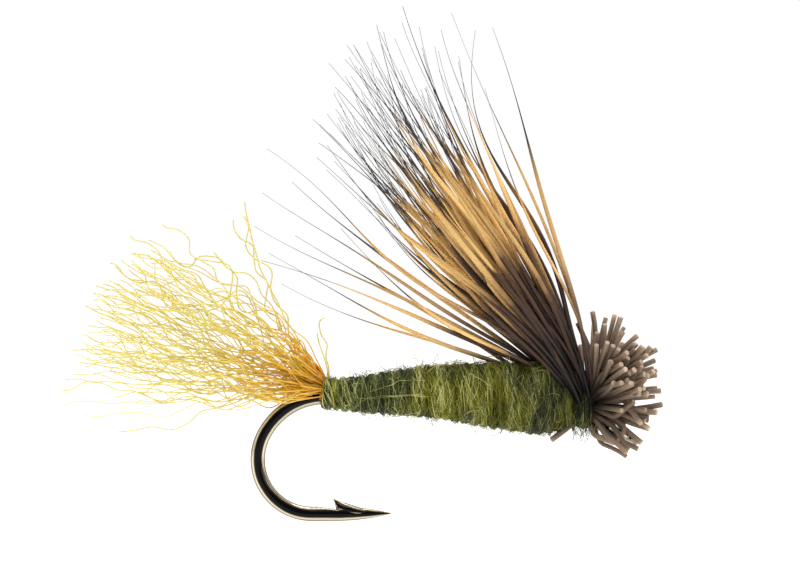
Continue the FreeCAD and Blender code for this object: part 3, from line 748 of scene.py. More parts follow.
def shuck_lines(rng, yarn, first_pitch, last_pitch, yaws, lengths, spread=0.30, stations=84):
    """Crimped fibres from the rear binding. Each sets off at its first pitch and bends to its last pitch
    within a few millimetres, like the petals of a tulip, and its yaw shrinks in the same way. Slow waves
    bend it, and two waves of about the yarn's crimp push it to the side."""
    number = len(lengths)
    share = np.linspace(0, 1, stations) ** 1.05
    distance = share * lengths[:, None]
    leave = np.exp(-distance / (2.1 * MM))
    slow = rng.uniform(0, TURN, (4, number, 1))
    size = np.radians(rng.normal(0, 14, (4, number, 1))) * ease(distance, 0, 1.5 * MM)
    pitch = last_pitch[:, None] + (first_pitch - last_pitch)[:, None] * leave
    pitch = pitch + size[0] * np.sin(distance / (0.9 * MM) + slow[0])
    pitch = pitch + size[2] * np.sin(distance / (0.48 * MM) + slow[2])
    yaw = yaws[:, None] * (0.35 + 0.65 * leave) + size[1] * np.sin(distance / (0.9 * MM) + slow[1])
    yaw = yaw + size[3] * np.sin(distance / (0.48 * MM) + slow[3])
    heading = np.stack([-np.cos(pitch) * np.cos(yaw), np.cos(pitch) * np.sin(yaw), np.sin(pitch)], -1)
    turned = rng.uniform(0, TURN, number)
    reach = np.sqrt(rng.uniform(0, 1, number)) * spread * MM
    root = np.stack([
        np.full(number, SHUCK_PIVOT[0] + 0.30 * MM), reach * np.cos(turned),
        SHUCK_PIVOT[2] - 0.03 * MM + reach * (0.35 * np.sin(turned) + 0.8 * np.sin(last_pitch - 0.3)),
    ], -1)
    lines = integrate(root, heading, distance)
    across = unit(np.cross(heading, [[[0.0, 1.0, 0.0]]]))
    beside = np.cross(heading, across)
    height = yarn.crimp_height * rng.uniform(0.5, 1.3, (number, 1)) * ease(distance, 0.4 * MM, 2.2 * MM)
    wave = yarn.crimp * rng.uniform(0.75, 1.35, (number, 1))
    start = rng.uniform(0, TURN, (3, number, 1))
    lean = rng.uniform(0, TURN, (number, 1))
    main = np.sin(TURN * distance / wave + start[0]) + 0.22 * np.sin(TURN * distance / wave * 2.1 + start[1])
    other = 0.5 * np.sin(TURN * distance / wave * 0.9 + start[2])
    lines = lines + (height * (main * np.cos(lean) + other * np.sin(lean)))[..., None] * across
    return lines + (height * (main * np.sin(lean) - other * np.cos(lean)))[..., None] * beside


class FLY_OT_shuck(bpy.types.Operator):
    """Trailing shuck: crimped yarn bound along the shank, its dense foot and its loose fibres"""

    bl_idname = "fly.shuck"
    bl_label = "Shuck"

    def execute(self, context):
        settings = context.scene.fly
        yarn = settings.yarn
        material = crimped_yarn(settings.colours)
        rng = np.random.default_rng(11)
        self.bound_yarn(rng, yarn, material)
        self.foot(rng, yarn, material)
        number = yarn.fibres
        rank = (np.arange(number) + rng.uniform(0, 1, number)) / number
        first_pitch = np.radians(-19 + 70 * rank + rng.normal(0, 9, number))
        last_pitch = np.radians(3 + 25 * rank + rng.normal(0, 6, number))
        yaws = np.radians(rng.normal(0, 24, number))
        longest = yarn.shuck_length * (1.03 - 0.12 * rank ** 2)
        lengths = longest * (1 - 0.26 * rng.uniform(0, 1, number) ** 2.2)
        lines = shuck_lines(rng, yarn, first_pitch, last_pitch, yaws, lengths)
        radii = yarn.fibre * rng.uniform(0.75, 1.15, (number, 1)) * np.linspace(1.1, 0.85, lines.shape[1])
        fibres = strands("shuck_fibres", lines, radii, 6, rng.uniform(0, 1, number))
        finish_piece(fibres, material, "shuck")
        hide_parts(*nodes_named("shuck_strand"))
        # single fibres: first pitch, last pitch, yaw and length
        strays = np.array([
            (-5, -3, -4, 8.7), (54, 42, 2, 5.9), (46, 64, -5, 6.3), (44, 68, 4, 6.6), (84, 88, 0, 2.3),
            (80, 84, 3, 1.8), (34, 66, 12, 6.4), (-6, 0, -20, 6.3), (-6, 4, 12, 7.6), (-8, 2, -6, 5.9),
        ])
        angles = np.radians(strays[:, :3])
        stray = shuck_lines(rng, yarn, angles[:, 0], angles[:, 1], angles[:, 2], strays[:, 3] * MM, 0.24)
        radii = np.full(stray.shape[:2], yarn.fibre * 0.95)
        loose = strands("shuck_stray_fibres_loose", stray, radii, 6, rng.uniform(0.3, 0.9, len(strays)))
        finish_piece(loose, material, "shuck")
        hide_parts("shuck_stray_fibres")
        return {"FINISHED"}

    def bound_yarn(self, rng, yarn, material):
        """Fibres laid along the shank inside the body, packed evenly in a crescent over the thread."""
        rear, front, height, outer = span("shuck_underbody", 1)
        number, stations = 70, 24
        turned = rng.uniform(0, TURN, number)
        reach = outer * np.sqrt(rng.uniform(0.62, 0.9, number))
        x = np.linspace(rear, front, stations)
        sway = 0.02 * MM * np.sin(x[None] / (0.8 * MM) + rng.uniform(0, TURN, (number, 1)))
        lines = np.stack([
            np.broadcast_to(x, (number, stations)), reach[:, None] * np.cos(turned)[:, None] + sway,
            height + reach[:, None] * np.sin(turned)[:, None] + sway,
        ], -1)
        radii = np.full(lines.shape[:2], yarn.fibre * 1.5)
        bound = strands("bound_yarn", lines, radii, 5, rng.uniform(0, 1, number) * 0.1)
        finish_piece(bound, material)
        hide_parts("shuck_underbody")

    def foot(self, rng, yarn, material):
        """Short fibres packed round the place where the yarn leaves its binding."""
        number, stations = 120, 40
        rank = rng.uniform(0, 1, number)
        pitches = np.radians(np.stack([-12 + 62 * rank, 4 + 30 * rank]))
        yaws = np.radians(rng.normal(0, 20, number))
        lengths = rng.uniform(0.8, 1.9, number) * MM
        lines = shuck_lines(rng, yarn, pitches[0], pitches[1], yaws, lengths, 0.36, stations)
        radii = yarn.fibre * np.linspace(1.25, 0.8, stations) * np.ones((number, 1))
        # a short fibre has only the brown inner fifth of a long one's colours, the painted shade of the
        # packed root
        brown = np.linspace(0, 0.2, stations)
        foot = strands("shuck_foot", lines, radii, 5, rng.uniform(0, 1, number), brown)
        finish_piece(foot, material, "shuck")
        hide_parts("shuck_root")


# ---------------------------------------------------------------- dubbed body


def spindle(x, body):
    """Radius and height of the body's centre at x. From the rear to the belly it is nearly a cone, whose
    centre rises ahead of its radius so that the underside stays near the wire; from the belly to the
    front it closes on a quarter of an ellipse."""
    low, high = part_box("dubbed_body")
    share = np.clip((x - low.x) / (body.belly_x - low.x), 0, 1)
    swell = 0.85 * share + 0.15 * np.sin(share * np.pi / 2)
    lift = ease(share, 0, 0.55)
    close = np.sqrt(1 - np.clip((x - body.belly_x) / (high.x - body.belly_x), 0, 1) ** 2)
    rear = x < body.belly_x
    radius = np.where(
        rear, body.rear_radius + (body.belly_radius - body.rear_radius) * swell,
        body.front_radius + (body.belly_radius - body.front_radius) * close,
    )
    rise = np.where(
        rear, body.rear_rise + (body.belly_rise - body.rear_rise) * lift,
        body.front_rise + (body.belly_rise - body.front_rise) * close,
    )
    return radius, SHANK_Z + rise


def rope_height(x, turned, body):
    """Height of the wrapped rope over its groove, 0 to 1: half a wave across each wrap. The wraps
    advance one pitch a turn, lean forward underneath, and drift to and fro a little."""
    drift = (
        0.35 * np.sin(x / (1.1 * MM)) + 0.25 * np.sin(x / (0.47 * MM) + 1.3)
        + 0.3 * np.sin(turned + x / (2 * MM))
    )
    lean = body.wrap_lean * np.cos(turned) / body.wrap * np.pi
    return abs(np.sin(x / body.wrap * np.pi + turned / 2 + lean + drift)) ** 0.6


GROOVE_DEPTH = 0.10 * MM


def on_body(x, turned, lift, body):
    """Points at x and at an angle from the top round the body, a lift above its grooves."""
    radius, height = spindle(x, body)
    out = radius - GROOVE_DEPTH + lift
    return np.stack([x, out * np.sin(turned), height + out * np.cos(turned)], -1)


def blurred(rng, shape, along, round_about):
    """Random values smoothed by a Gaussian of so many grid steps each way, and stretched to 0 to 1."""
    raw = np.fft.fft2(rng.normal(size=shape))
    first = np.exp(-2 * (np.pi * along * np.fft.fftfreq(shape[0])) ** 2)[:, None]
    second = np.exp(-2 * (np.pi * round_about * np.fft.fftfreq(shape[1])) ** 2)[None]
    soft = np.real(np.fft.ifft2(raw * first * second))
    return np.clip(0.5 + soft / soft.std() * 0.2, 0, 1)


class FLY_OT_body(bpy.types.Operator):
    """Dubbed body: a rope of olive fur wrapped round the shank, with its wrapped and loose fibres"""

    bl_idname = "fly.body"
    bl_label = "Dubbed body"

    def execute(self, context):
        settings = context.scene.fly
        body, colours = settings.body, settings.colours
        rng = np.random.default_rng(5)
        core = self.core(rng, body)
        dark, bright, pale = colours.olive_dark, colours.olive_bright, "#c6c682"
        # painted shade: the rope's surface gets much darker olive stops than its loose fibres, for the shade
        # beneath them
        core_look = dubbing(
            "wrapped_fur_dubbing", [(0.3, dark), (0.65, "#283018"), (0.95, "#3a4222")],
            [(0.2, dark), (0.55, "#3f4516"), (0.9, "#6c6f20")], True,
        )
        finish_piece(core, core_look)
        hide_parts("dubbed_body")
        fibre_look = dubbing(
            "loose_fur_dubbing",
            [(0.10, dark), (0.38, "#313a1a"), (0.64, "#5d6334"), (0.88, "#93955a"), (1.0, pale)],
            [(0.10, dark), (0.37, colours.olive), (0.62, "#76771c"), (0.86, bright), (1.0, pale)],
            False,
        )
        pieces = [
            self.wrapped("dubbing_fibres_under", rng, body, 0.02 * MM),
            self.wrapped("dubbing_fibres_over", rng, body, 0.045 * MM),
            self.fuzz(rng, body), self.ruff(rng), self.loose(rng, body),
        ]
        for piece in pieces:
            finish_piece(piece, fibre_look)
        return {"FINISHED"}

    def core(self, rng, body):
        """The rope's own surface: the spindle, plus the rope's height, plus fine furrows that run round."""
        low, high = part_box("dubbed_body")
        stations, corners = 560, 150
        x = np.linspace(low.x - 0.09 * MM, high.x, stations)[:, None]
        turned = np.linspace(0, TURN, corners, endpoint=False)[None]
        turned_full = np.broadcast_to(turned, (stations, corners))
        x_full = np.broadcast_to(x, (stations, corners))
        rope = rope_height(x_full, turned_full, body)
        furrow = blurred(rng, (stations, corners), 1.3, 5.0)
        lump = blurred(rng, (stations, corners), 14, 9)
        lift = body.relief * rope + 0.035 * MM * furrow + 0.07 * MM * (lump - 0.5)
        points = on_body(x_full, turned_full, lift, body)
        core = grid_object("dubbing_core", points[None, :, ::-1])
        # along carries the rope's height on the core; its material paints shade in the grooves from it
        marks = {"along": rope ** 1.4 * (0.6 + 0.4 * furrow), "strand": furrow * 0.6 + lump * 0.4}
        for name, values in marks.items():
            store = core.data.attributes.new(name, "FLOAT", "POINT")
            store.data.foreach_set("value", values[:, ::-1].astype(np.float32).reshape(-1))
        return core

    def starts(self, rng, body, number, rearward=0.0):
        """Random places on the body, more of them where it is fat, and the ends of that stretch."""
        low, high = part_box("dubbed_body")
        rear = low.x - rearward
        x = rng.uniform(rear, high.x, number * 2)
        keep = rng.uniform(0, body.belly_radius, number * 2) < spindle(x, body)[0] * 1.15
        return x[keep][:number], rear, high.x

    def wrapped(self, name, rng, body, height):
        """Fibres that follow the wraps: angle runs on, x advances with the rope, and both ends dive."""
        x0, rear, front = self.starts(rng, body, body.fibres, rearward=0.38 * MM)
        number, stations = len(x0), 12
        share = np.linspace(0, 1, stations)[None]
        radius = spindle(x0, body)[0][:, None]
        sweep_angle = rng.uniform(0.7, 2.6, (number, 1)) * MM / radius
        turned = rng.uniform(0, TURN, (number, 1)) + sweep_angle * share
        slant = rng.normal(0, 0.24, (number, 1))
        bow = rng.normal(0, 0.09 * MM, (number, 1)) * np.sin(share * np.pi)
        wave = rng.uniform(0, TURN, (number, 1))
        ripple = rng.gamma(2.0, 0.014, (number, 1)) * MM
        bow = bow + ripple * np.sin(share * rng.uniform(4, 11, (number, 1)) + wave)
        x = x0[:, None] + (slant * radius - body.wrap / TURN) * (turned - turned[:, :1]) + bow
        x = x - body.wrap_lean * (np.cos(turned) - np.cos(turned[:, :1]))
        x = np.clip(x, rear, front + rng.uniform(0, 0.42, (number, 1)) * MM)
        stand = height * rng.uniform(0.2, 1.6, (number, 1)) * np.sin(share * np.pi) ** 0.5
        loose = rng.uniform(0, 1, (number, 1)) ** 5 * 0.16 * MM * share ** 2
        lift = body.relief * rope_height(x, turned, body) * 0.9 + 0.02 * MM + stand + loose
        lines = on_body(x, turned, lift, body)
        radii = rng.uniform(0.009, 0.019, (number, 1)) * MM * (1 - 0.5 * share ** 2)
        # painted shade: fibres that lie lower in a groove get darker tones
        proud = rope_height(x, turned, body).mean(1)
        return strands(name, lines, radii, 3, rng.uniform(0, 0.72, number) + 0.75 * (proud - 0.45))

    def fuzz(self, rng, body):
        """Fibres that leave the surface, bow out and trail: height grows with the square of the way
        along, or rises and falls in a loop, while x and the angle wander on slow waves."""
        x0, rear, front = self.starts(rng, body, body.fuzz, rearward=0.3 * MM)
        number, stations = len(x0), 14
        share = np.linspace(0, 1, stations)[None]
        radius = spindle(x0, body)[0][:, None]
        sweep_angle = rng.normal(0, 1.1, (number, 1)) * MM / radius
        curl = rng.uniform(0, TURN, (number, 1))
        turned = rng.uniform(0, TURN, (number, 1)) + sweep_angle * share + 0.12 * np.sin(share * 5 + curl)
        wander = rng.normal(0, 0.45, (number, 1)) * MM * share + 0.08 * MM * np.sin(share * 6 + curl)
        x = np.clip(x0[:, None] + wander, rear, front + 0.45 * MM)
        loop = rng.uniform(0, 1, (number, 1)) < 0.45
        reach = rng.gamma(2.2, 0.075, (number, 1)) * MM
        rise = np.where(loop, np.sin(share * np.pi), share ** 1.5) * np.minimum(reach, 0.5 * MM)
        lift = body.relief * 0.6 + rise
        lines = on_body(x, turned, lift, body)
        radii = rng.uniform(0.006, 0.012, (number, 1)) * MM * (1 - 0.4 * share)
        return strands("dubbing_fuzz", lines, radii, 3, rng.uniform(0.35, 1.1, number))

    def loose(self, rng, body):
        """Pale fibres that have come loose and lie along the flanks: first x, last x, first angle from
        the top, last angle, and height. They sag and wander on slow waves."""
        plan = np.array([
            (-8.55, -6.1, -1.72, -1.66, 0.20), (-8.35, -6.25, -1.64, -1.72, 0.17),
            (-8.1, -6.7, -1.35, -1.05, 0.20), (-6.4, -4.9, -0.75, -0.2, 0.30),
            (-5.1, -4.2, -0.9, -1.25, 0.22), (-4.9, -3.6, 0.5, -0.1, 0.30),
            (-7.6, -5.4, 1.6, 1.4, 0.18), (-4.4, -2.9, 1.3, 1.9, 0.2),
        ])
        stations = 26
        share = np.linspace(0, 1, stations)[None]
        first, last, start, end, height = [plan[:, n:n + 1] for n in range(5)]
        wave = rng.uniform(0, TURN, (3, len(plan), 1))
        x = (first + (last - first) * share + 0.05 * np.sin(share * 9 + wave[0])) * MM
        turned = start + (end - start) * share + 0.06 * np.sin(share * 5 + wave[1])
        turned = turned + 0.02 * np.sin(share * 17 + wave[2])
        lift = (0.05 + height * np.sin(share * np.pi) ** 0.6) * MM + body.relief * 0.5
        radii = np.full((len(plan), stations), 0.009 * MM)
        tones = rng.uniform(0.85, 1.1, len(plan))
        return strands("dubbing_loose", on_body(x, turned, lift, body), radii, 4, tones)

    def ruff(self, rng):
        """Dubbing left on the thread of the collar: arcs laid over its turns, and under it curled wisps
        that hang free. An arc's height rises and falls as half a sine wave."""
        rear, front, height, outer = span("wing_collar")
        number, hanging, stations = 420, 60, 12
        share = np.linspace(0, 1, stations)[None]
        wisp = (np.arange(number) < hanging)[:, None]
        start = np.where(wisp, rng.normal(np.pi, 0.5, (number, 1)), rng.uniform(0, TURN, (number, 1)))
        turned = start + rng.normal(0, 1.2, (number, 1)) * share
        x = rng.uniform(rear - 0.1 * MM, front - 0.02 * MM, (number, 1))
        x = x + rng.normal(0, 0.16, (number, 1)) * MM * share + 0.03 * MM * np.sin(share * 7 + start)
        laid = rng.gamma(2.0, 0.02, (number, 1)) * MM * np.sin(share * np.pi)
        hung = rng.uniform(0.15, 0.65, (number, 1)) * MM * share
        out = outer + 0.015 * MM + np.where(wisp, hung, laid)
        lines = np.stack([x, out * np.sin(turned), height + out * np.cos(turned)], -1)
        radii = rng.uniform(0.008, 0.016, (number, 1)) * MM * (1 - 0.4 * share)
        # painted shade: fibres on top of the collar get the darkest tones, in the wing's shade, and those
        # underneath lighter ones
        under = np.cos(turned.mean(1)) < -0.6
        tones = np.where(under, rng.uniform(0.3, 0.95, number), rng.uniform(-0.25, 0.35, number))
        return strands("collar_dubbing", lines, radii, 3, tones)


# ---------------------------------------------------------------- wing and butts


HAIR_SHARE = np.linspace(0, 1, 36) ** 1.15


def wing_lines(rng, root, root_pitch, end_pitch, splay, lengths, curl):
    """Hairs from the collar. The pitch above the rearward shank starts at its root value and settles to
    its end value, then curls towards the tip, with slow waves of its own; the splay about the shank
    grows along the hair in the same way."""
    distance = HAIR_SHARE * lengths[:, None]
    settle = np.exp(-distance / (2.2 * MM))
    wave = rng.uniform(0, TURN, (4, len(root), 1))
    sway = np.radians(rng.normal(0, 4.2, (2, len(root), 1))) * ease(distance, 0, 4 * MM)
    pitch = end_pitch[:, None] + (root_pitch - end_pitch)[:, None] * settle
    pitch = pitch + curl[:, None] * HAIR_SHARE ** 2.6
    pitch = pitch + sway[0] * np.sin(distance / (1.5 * MM) + wave[0])
    # hair that starts on a flank of the collar bulges outwards, round the front of the body
    flare = np.radians(105) * np.clip(-root[:, 1:2] / MM, -0.5, 0.5) * np.exp(-distance / (0.9 * MM))
    lean = splay[:, None] * (0.25 + 0.75 * (1 - settle)) + flare
    lean = lean + sway[1] * np.sin(distance / (1.7 * MM) + wave[1])
    heading = np.stack([-np.cos(pitch), -np.sin(lean), np.sin(pitch)], -1)
    return integrate(root, unit(heading), distance)


def hair_radii(rng, hair, lengths):
    """A deer hair is crushed at its binding, full within a millimetre and over its inner half, then
    tapers quickly where its colour turns dark and ends in a long fine tip."""
    distance = HAIR_SHARE * lengths[:, None]
    full = hair.hair * rng.uniform(0.72, 1.12, (len(lengths), 1))
    crush = 0.5 + 0.5 * ease(distance, 0, 1.3 * MM)
    place = HAIR_SHARE[None] + rng.normal(0, 0.04, (len(lengths), 1))
    profile = np.interp(place, [0.0, 0.44, 0.58, 0.69, 0.80, 1.0], [1.0, 1.0, 0.80, 0.36, 0.15, 0.05])
    return np.maximum(full * crush * profile, hair.tip)


class FLY_OT_wing(bpy.types.Operator):
    """Deer-hair wing: bound hair under the collar, the stacked hair behind it, and single hairs"""

    bl_idname = "fly.wing"
    bl_label = "Wing"

    def execute(self, context):
        settings = context.scene.fly
        hair, colours = settings.hair, settings.colours
        rng = np.random.default_rng(23)
        root, tip = colours.hair_root, colours.hair_tip
        # painted shade: each ramp starts near black, darker than the hair's own root colour, where the hair
        # packs into the collar
        stacked = banded_hair("stacked_deer_hair", [
            (0.0, "#0d0a09"), (0.08, "#1f1815"), (0.18, root), (0.33, "#4e382b"), (0.41, "#bb9158"),
            (0.49, colours.hair_amber), (0.68, "#cfa462"), (0.74, "#4c4038"), (0.83, tip),
        ], 0.10)
        dark = banded_hair("dark_deer_hair", [
            (0.0, "#0d0a09"), (0.12, "#241b19"), (0.25, root), (0.46, "#4a3933"), (0.56, "#97703f"),
            (0.66, "#3a302f"), (0.9, tip),
        ], 0.12)
        pale = banded_hair("pale_deer_hair", [
            (0.0, "#1d1613"), (0.18, "#54423a"), (0.30, "#7d5f45"), (0.40, "#d8b078"), (0.60, "#d2a664"),
            (0.72, "#4a4440"), (1.0, "#26262a"),
        ], 0.08)
        self.waist(rng, hair, dark)
        # just over the collar, where the hair starts to bend, and where it has left the collar behind
        hairs = self.stack("wing_hairs", rng, hair, int(hair.hairs * 0.86))
        finish_piece(hairs, stacked, "wing")
        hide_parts(*nodes_named("wing_lock"))
        dark_hairs = self.stack("wing_dark_hairs", rng, hair, int(hair.hairs * 0.14))
        finish_piece(dark_hairs, dark, "wing")
        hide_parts("wing_bundle")
        guard = self.guard(rng, hair)
        finish_piece(guard, pale, "wing")
        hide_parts("wing_guard_hairs")
        return {"FINISHED"}

    def roots(self, rng, rank):
        """Places in the collar: low hair starts at its rear, upright hair at its front, round the top."""
        rear, front, height, outer = span("wing_collar")
        x = rear + (front - rear) * (0.05 + 0.75 * rank) + rng.normal(0, 0.05 * MM, len(rank))
        turned = rng.normal(0, 1.25, len(rank)).clip(-2.1, 2.1)
        reach = outer * rng.uniform(0.45, 0.85, len(rank))
        return np.stack([x, -reach * np.sin(turned), height + reach * np.cos(turned)], -1)

    def stack(self, name, rng, hair, number):
        """The stacked hair in small clumps: a clump has a pitch and a splay, and its hairs stray from it.
        A few hairs leave the stack and lie low over the body."""
        clumps = 22
        clump_rank = rng.beta(1.1, 1.2, clumps)
        clump_splay = rng.normal(0, 12, clumps)
        clump_curl = rng.normal(0, 8, clumps)
        pick = rng.integers(0, clumps, number)
        rank = np.clip(clump_rank[pick] + rng.normal(0, 0.05, number), 0, 1)
        low = rng.uniform(0, 1, number) < 0.07
        end_pitch = np.where(low, rng.uniform(14, 33, number), 30 + 28 * rank)
        rank = np.where(low, 0.0, rank)
        splay = np.radians(np.clip(clump_splay[pick] + rng.normal(0, 3.0, number), -24, 24))
        root = self.roots(rng, rank)
        root_pitch = np.where(low, end_pitch + 14, 50 + 29 * rank) + rng.normal(0, 4, number)
        reach = np.where(low, 11.0 + 0.08 * (end_pitch - 14), 14.2 - 0.004 * (end_pitch - 58) ** 2)
        lengths = reach * hair.wing_length / 14.0 * (1 - 0.24 * rng.uniform(0, 1, number) ** 1.8)
        curl = np.where(low, 12, 13 - 5 * rank) + clump_curl[pick] + rng.normal(0, 9, number)
        lines = wing_lines(
            rng, root, np.radians(root_pitch), np.radians(end_pitch), splay, lengths, np.radians(curl)
        )
        tones = rng.uniform(0, 1, number)
        return strands(name, lines, hair_radii(rng, hair, lengths), 7, tones, HAIR_SHARE)

    def guard(self, rng, hair):
        """Single hairs that stand apart: pitch at the root, pitch at the end, splay, length and curl."""
        shapes = np.array([
            (24, 11, -9, 10.4, 12), (30, 15, 7, 11.0, 14), (36, 18, -4, 11.8, 10), (42, 23, 10, 12.2, 12),
            (50, 27, -13, 12.4, 14), (46, 31, 3, 12.8, 6), (88, 69, 4, 12.4, -2), (94, 58, -3, 10.8, 10),
            (88, 60, 6, 13.0, 4),
        ])
        rank = np.array([0.0, 0.0, 0.05, 0.1, 0.1, 0.15, 1.0, 0.95, 0.9])
        lengths = shapes[:, 3] * MM
        angles = np.radians(shapes)
        lines = wing_lines(
            rng, self.roots(rng, rank), angles[:, 0], angles[:, 1], angles[:, 2], lengths, angles[:, 4]
        )
        radii = hair_radii(rng, hair, lengths) * 0.8
        return strands("wing_single_hairs", lines, radii, 7, rng.uniform(0.2, 0.8, len(rank)), HAIR_SHARE)

    def waist(self, rng, hair, look):
        """Hair crushed flat under the collar, from the butts in front to the wing behind."""
        rear, front, height, outer = span("hair_waist", 1)
        number, stations = 60, 8
        turned = rng.normal(0, 1.2, number)
        reach = outer * np.sqrt(rng.uniform(0.55, 0.86, number))
        x = np.linspace(rear, front, stations)
        even = np.ones(stations)
        lines = np.stack([
            np.broadcast_to(x, (number, stations)), reach[:, None] * np.sin(turned)[:, None] * even,
            height + reach[:, None] * np.cos(turned)[:, None] * even,
        ], -1)
        radii = np.full((number, stations), hair.hair * 0.7)
        waist = strands("bound_hair", lines, radii, 6, rng.uniform(0, 1, number))
        finish_piece(waist, look)
        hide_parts("hair_waist")


class FLY_OT_butts(bpy.types.Operator):
    """Clipped butts that flare in front of the collar, with their pale cut ends"""

    bl_idname = "fly.butts"
    bl_label = "Clipped butts"

    def execute(self, context):
        settings = context.scene.fly
        hair, colours = settings.hair, settings.colours
        rng = np.random.default_rng(31)
        # painted shade: the ramp is near black at the root inside the clump, rising to taupe and the pale cut
        # end
        look = banded_hair("clipped_deer_hair", [
            (0.0, "#0f0b09"), (0.32, "#2a201b"), (0.68, colours.butt), (0.93, "#8a7562"), (1.0, "#b49e86"),
        ], 0.07, roughness=0.45)
        number = hair.butts
        pitch = np.radians(96 - 124 * rng.beta(1.1, 1.3, number))
        splay = np.radians(rng.uniform(-68, 68, number))
        # low butts stay off the middle, so that the eye is free
        aside = np.sign(splay) * np.maximum(abs(splay), np.radians(24))
        splay = np.where(pitch < np.radians(-8), aside, splay)
        lengths = (2.05 + 0.50 * np.clip(np.sin(pitch), 0, 1)) * MM * rng.uniform(0.86, 1.04, number)
        butts = self.clipped("butt_hairs", rng, hair, pitch, splay, lengths)
        finish_piece(butts, look)
        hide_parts(*nodes_named("butt_tuft"))
        # single butts: pitch, splay, length and kink
        strays = np.array([
            (84, 6, 2.2, 34), (96, -30, 1.8, -8), (-40, 22, 2.0, 26), (-56, 16, 1.8, 56),
            (228, 14, 1.3, -4), (-4, 24, 2.3, 10), (-28, 30, 1.9, -30), (-46, 34, 1.8, 34),
            (-16, 38, 1.8, 70), (-70, 26, 1.4, 60),
        ])
        angles = np.radians(strays[:, [0, 1, 3]])
        stray = self.clipped(
            "butt_strays", rng, hair, angles[:, 0], angles[:, 1], strays[:, 2] * MM, angles[:, 2]
        )
        finish_piece(stray, look)
        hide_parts("stray_butts")
        return {"FINISHED"}

    def clipped(self, name, rng, hair, pitch, splay, lengths, kink=None):
        """Each butt leaves the front of the collar, bends to its own pitch above the forward shank and
        its own splay to the side, bows a little, and ends in a cut face. Some are kinked part way along."""
        number, stations = len(pitch), 16
        _, front, height, outer = span("wing_collar")
        share = np.linspace(0, 1, stations)[None]
        distance = share * (lengths[:, None] + 0.25 * MM)
        kink_drawn = kink is None
        if kink_drawn:
            kink = np.radians(rng.normal(0, 32, number)) * (rng.uniform(0, 1, number) < 0.26)
            kink = np.where(pitch > np.radians(60), -abs(kink), kink)
            kink_place = rng.uniform(0.35, 0.8, (number, 1))
            settle = 0.65 * np.exp(-distance / (0.28 * MM))
        else:
            kink_place, settle = np.full((number, 1), 0.55), 0.0
        own = pitch[:, None] * (1 - settle) + np.radians(rng.normal(0, 13, (number, 1))) * share ** 1.5
        own = own + kink[:, None] * ease(share, kink_place - 0.06, kink_place + 0.06)
        side = splay[:, None] * ease(share, -0.3, 0.35)
        heading = np.stack([np.cos(own) * np.cos(side), -np.sin(side), np.sin(own) * np.cos(side)], -1)
        reach = outer * rng.uniform(0.2, 0.78, number)
        root = np.stack([
            np.full(number, front - 0.22 * MM) + rng.normal(0, 0.05 * MM, number),
            -reach * np.sin(splay), height + reach * np.cos(splay) * np.clip(np.sin(pitch) + 0.4, -0.8, 1),
        ], -1)
        lines = integrate(root, heading, distance)
        full = hair.butt * rng.uniform(0.78, 1.12, (number, 1))
        radii = full * (0.5 + 0.5 * ease(distance, 0, 0.9 * MM))
        # three more rings make the cut: each a step past the hair's end, with a share of its last ring
        hairs = sweep(lines, radii, 9)
        end, way = lines[:, -1:], unit(lines[:, -1:] - lines[:, -2:-1])
        around = hairs[:, -1] - end
        plan = ((0.012, 0.86), (0.016, 0.62), (0.010, 0.34))
        cut = [end + way * step * MM + around * scale for step, scale in plan]
        rings = np.concatenate([hairs, np.stack(cut, axis=1)], axis=1)
        pale_end = np.ones(len(cut))
        # single butts start half way along the ramp, so they miss most of the painted root shade
        along = np.concatenate([np.linspace(0 if kink_drawn else 0.5, 0.93, stations), pale_end])
        marks = {
            "along": np.broadcast_to(along, rings.shape[:2]),
            "strand": np.broadcast_to(rng.uniform(0, 1, (number, 1)), rings.shape[:2]),
        }
        return grid_object(name, rings, marks)


# ---------------------------------------------------------------- stage


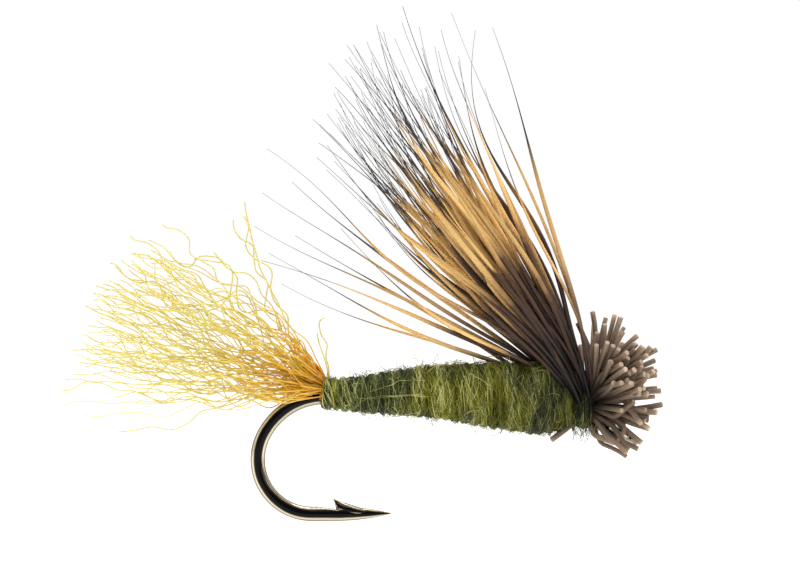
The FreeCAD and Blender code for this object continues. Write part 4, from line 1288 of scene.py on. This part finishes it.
class FLY_OT_stage(bpy.types.Operator):
    """Pale floor, soft studio light and the camera"""

    bl_idname = "fly.stage"
    bl_label = "Stage"

    def execute(self, context):
        scene = context.scene
        scene.view_settings.view_transform = "Standard"
        self.floor(scene)
        self.world(scene)
        self.lights(scene)
        self.camera(scene)
        return {"FINISHED"}

    def floor(self, scene):
        """A wide round sheet of paper under the fly, made as one thin closed disc."""
        corners = 96
        turned = np.linspace(0, TURN, corners, endpoint=False)
        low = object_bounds()[0].z - 6 * MM
        radius = np.array([0.001, 900, 900, 0.001]) * MM
        height = np.array([low - 1 * MM, low - 1 * MM, low, low])
        rings = np.stack([
            middle("dubbed_body")[0] + radius[:, None] * np.cos(turned), radius[:, None] * np.sin(turned),
            height[:, None] * np.ones(corners),
        ], -1)
        paper = grid_object("paper_floor", rings[None])
        paper.data.polygons.foreach_set("use_smooth", np.zeros(len(paper.data.polygons), bool))
        paper.data.materials.append(studio_paper(scene.fly.colours))
        paper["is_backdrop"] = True

    def world(self, scene):
        """White surroundings that are dimmer on the side of the camera, as in a light tent with one
        open side. The camera itself sees plain white."""
        world = bpy.data.worlds.new("light_tent")
        scene.world = world
        world.use_nodes = True
        tree = world.node_tree
        tree.nodes.clear()
        where = add(tree, "ShaderNodeTexCoord").outputs["Generated"]
        parts = add(tree, "ShaderNodeSeparateXYZ", {"Vector": where}).outputs
        behind = ranged(tree, parts["Y"], 0.35, 1.1, -0.7, 0.0)
        bright = computed(tree, "MULTIPLY", behind, ranged(tree, parts["Z"], 1.0, 1.35))
        seen = add(tree, "ShaderNodeLightPath").outputs["Is Camera Ray"]
        mixed = add(tree, "ShaderNodeMix", {"Factor": seen, "A": bright, "B": 1.0}, data_type="FLOAT")
        white = {"Color": (1.0, 1.0, 1.0, 1.0), "Strength": mixed.outputs["Result"]}
        glow = add(tree, "ShaderNodeBackground", white)
        add(tree, "ShaderNodeOutputWorld", {"Surface": glow.outputs["Background"]})

    def lights(self, scene):
        """A large soft box overhead and one on each side of the camera."""
        centre = Vector(middle("dubbed_body"))
        plan = (
            ("key", (-0.10, -0.16, 0.20), 0.12, 0.30),
            ("fill", (0.16, -0.14, 0.06), 0.10, 0.10),
            ("top", (0.02, 0.04, 0.24), 0.14, 0.25),
        )
        for name, place, size, power in plan:
            light = bpy.data.lights.new(name, "AREA")
            light.shape = "DISK"
            light.size = size
            light.energy = power
            lamp = bpy.data.objects.new(name, light)
            lamp.location = centre + Vector(place)
            lamp.rotation_mode = "QUATERNION"
            lamp.rotation_quaternion = (-Vector(place)).to_track_quat("-Z", "Y")
            scene.collection.objects.link(lamp)

    def camera(self, scene):
        """Looks square across the hook, with the shank running a little downhill to the right."""
        roll = np.radians(3.7)
        wide, lens, sensor = 25.6 * MM, 100.0, 36.0
        distance = wide * lens / sensor
        aim = Vector((-7.357 * MM, 0, 4.430 * MM))
        data = bpy.data.cameras.new("camera")
        data.lens, data.sensor_width = lens, sensor
        data.clip_start, data.clip_end = 1 * MM, 10.0
        camera = bpy.data.objects.new("camera", data)
        camera.location = aim + Vector((0, -distance, 0))
        camera.rotation_euler = (np.pi / 2, -roll, 0)
        scene.collection.objects.link(camera)
        scene.camera = camera


# ---------------------------------------------------------------- panel and run

OPERATORS = (
    FLY_OT_hook, FLY_OT_thread, FLY_OT_shuck, FLY_OT_body, FLY_OT_wing, FLY_OT_butts, FLY_OT_stage,
)


class FLY_PT_panel(bpy.types.Panel):
    """Lists the pieces of the fly and their sizes"""

    bl_label = "Dry fly"
    bl_idname = "FLY_PT_panel"
    bl_space_type = "VIEW_3D"
    bl_region_type = "UI"
    bl_category = "Fly"

    def draw(self, context):
        settings = context.scene.fly
        for group in (settings.hook, settings.body, settings.hair, settings.yarn, settings.colours):
            box = self.layout.box()
            for name in group.bl_rna.properties.keys()[2:]:
                box.prop(group, name)
        for operator in OPERATORS:
            self.layout.operator(operator.bl_idname)


CLASSES = (FlyHook, FlyBody, FlyHair, FlyYarn, FlyColours, FlySettings, *OPERATORS, FLY_PT_panel)


def register():
    for item in CLASSES:
        bpy.utils.register_class(item)
    bpy.types.Scene.fly = PointerProperty(type=FlySettings)


def unregister():
    del bpy.types.Scene.fly
    for item in reversed(CLASSES):
        bpy.utils.unregister_class(item)


def main():
    register()
    for operator in OPERATORS:
        group, name = operator.bl_idname.split(".")
        getattr(getattr(bpy.ops, group), name)()
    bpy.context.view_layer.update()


if __name__ == "__main__":
    main()
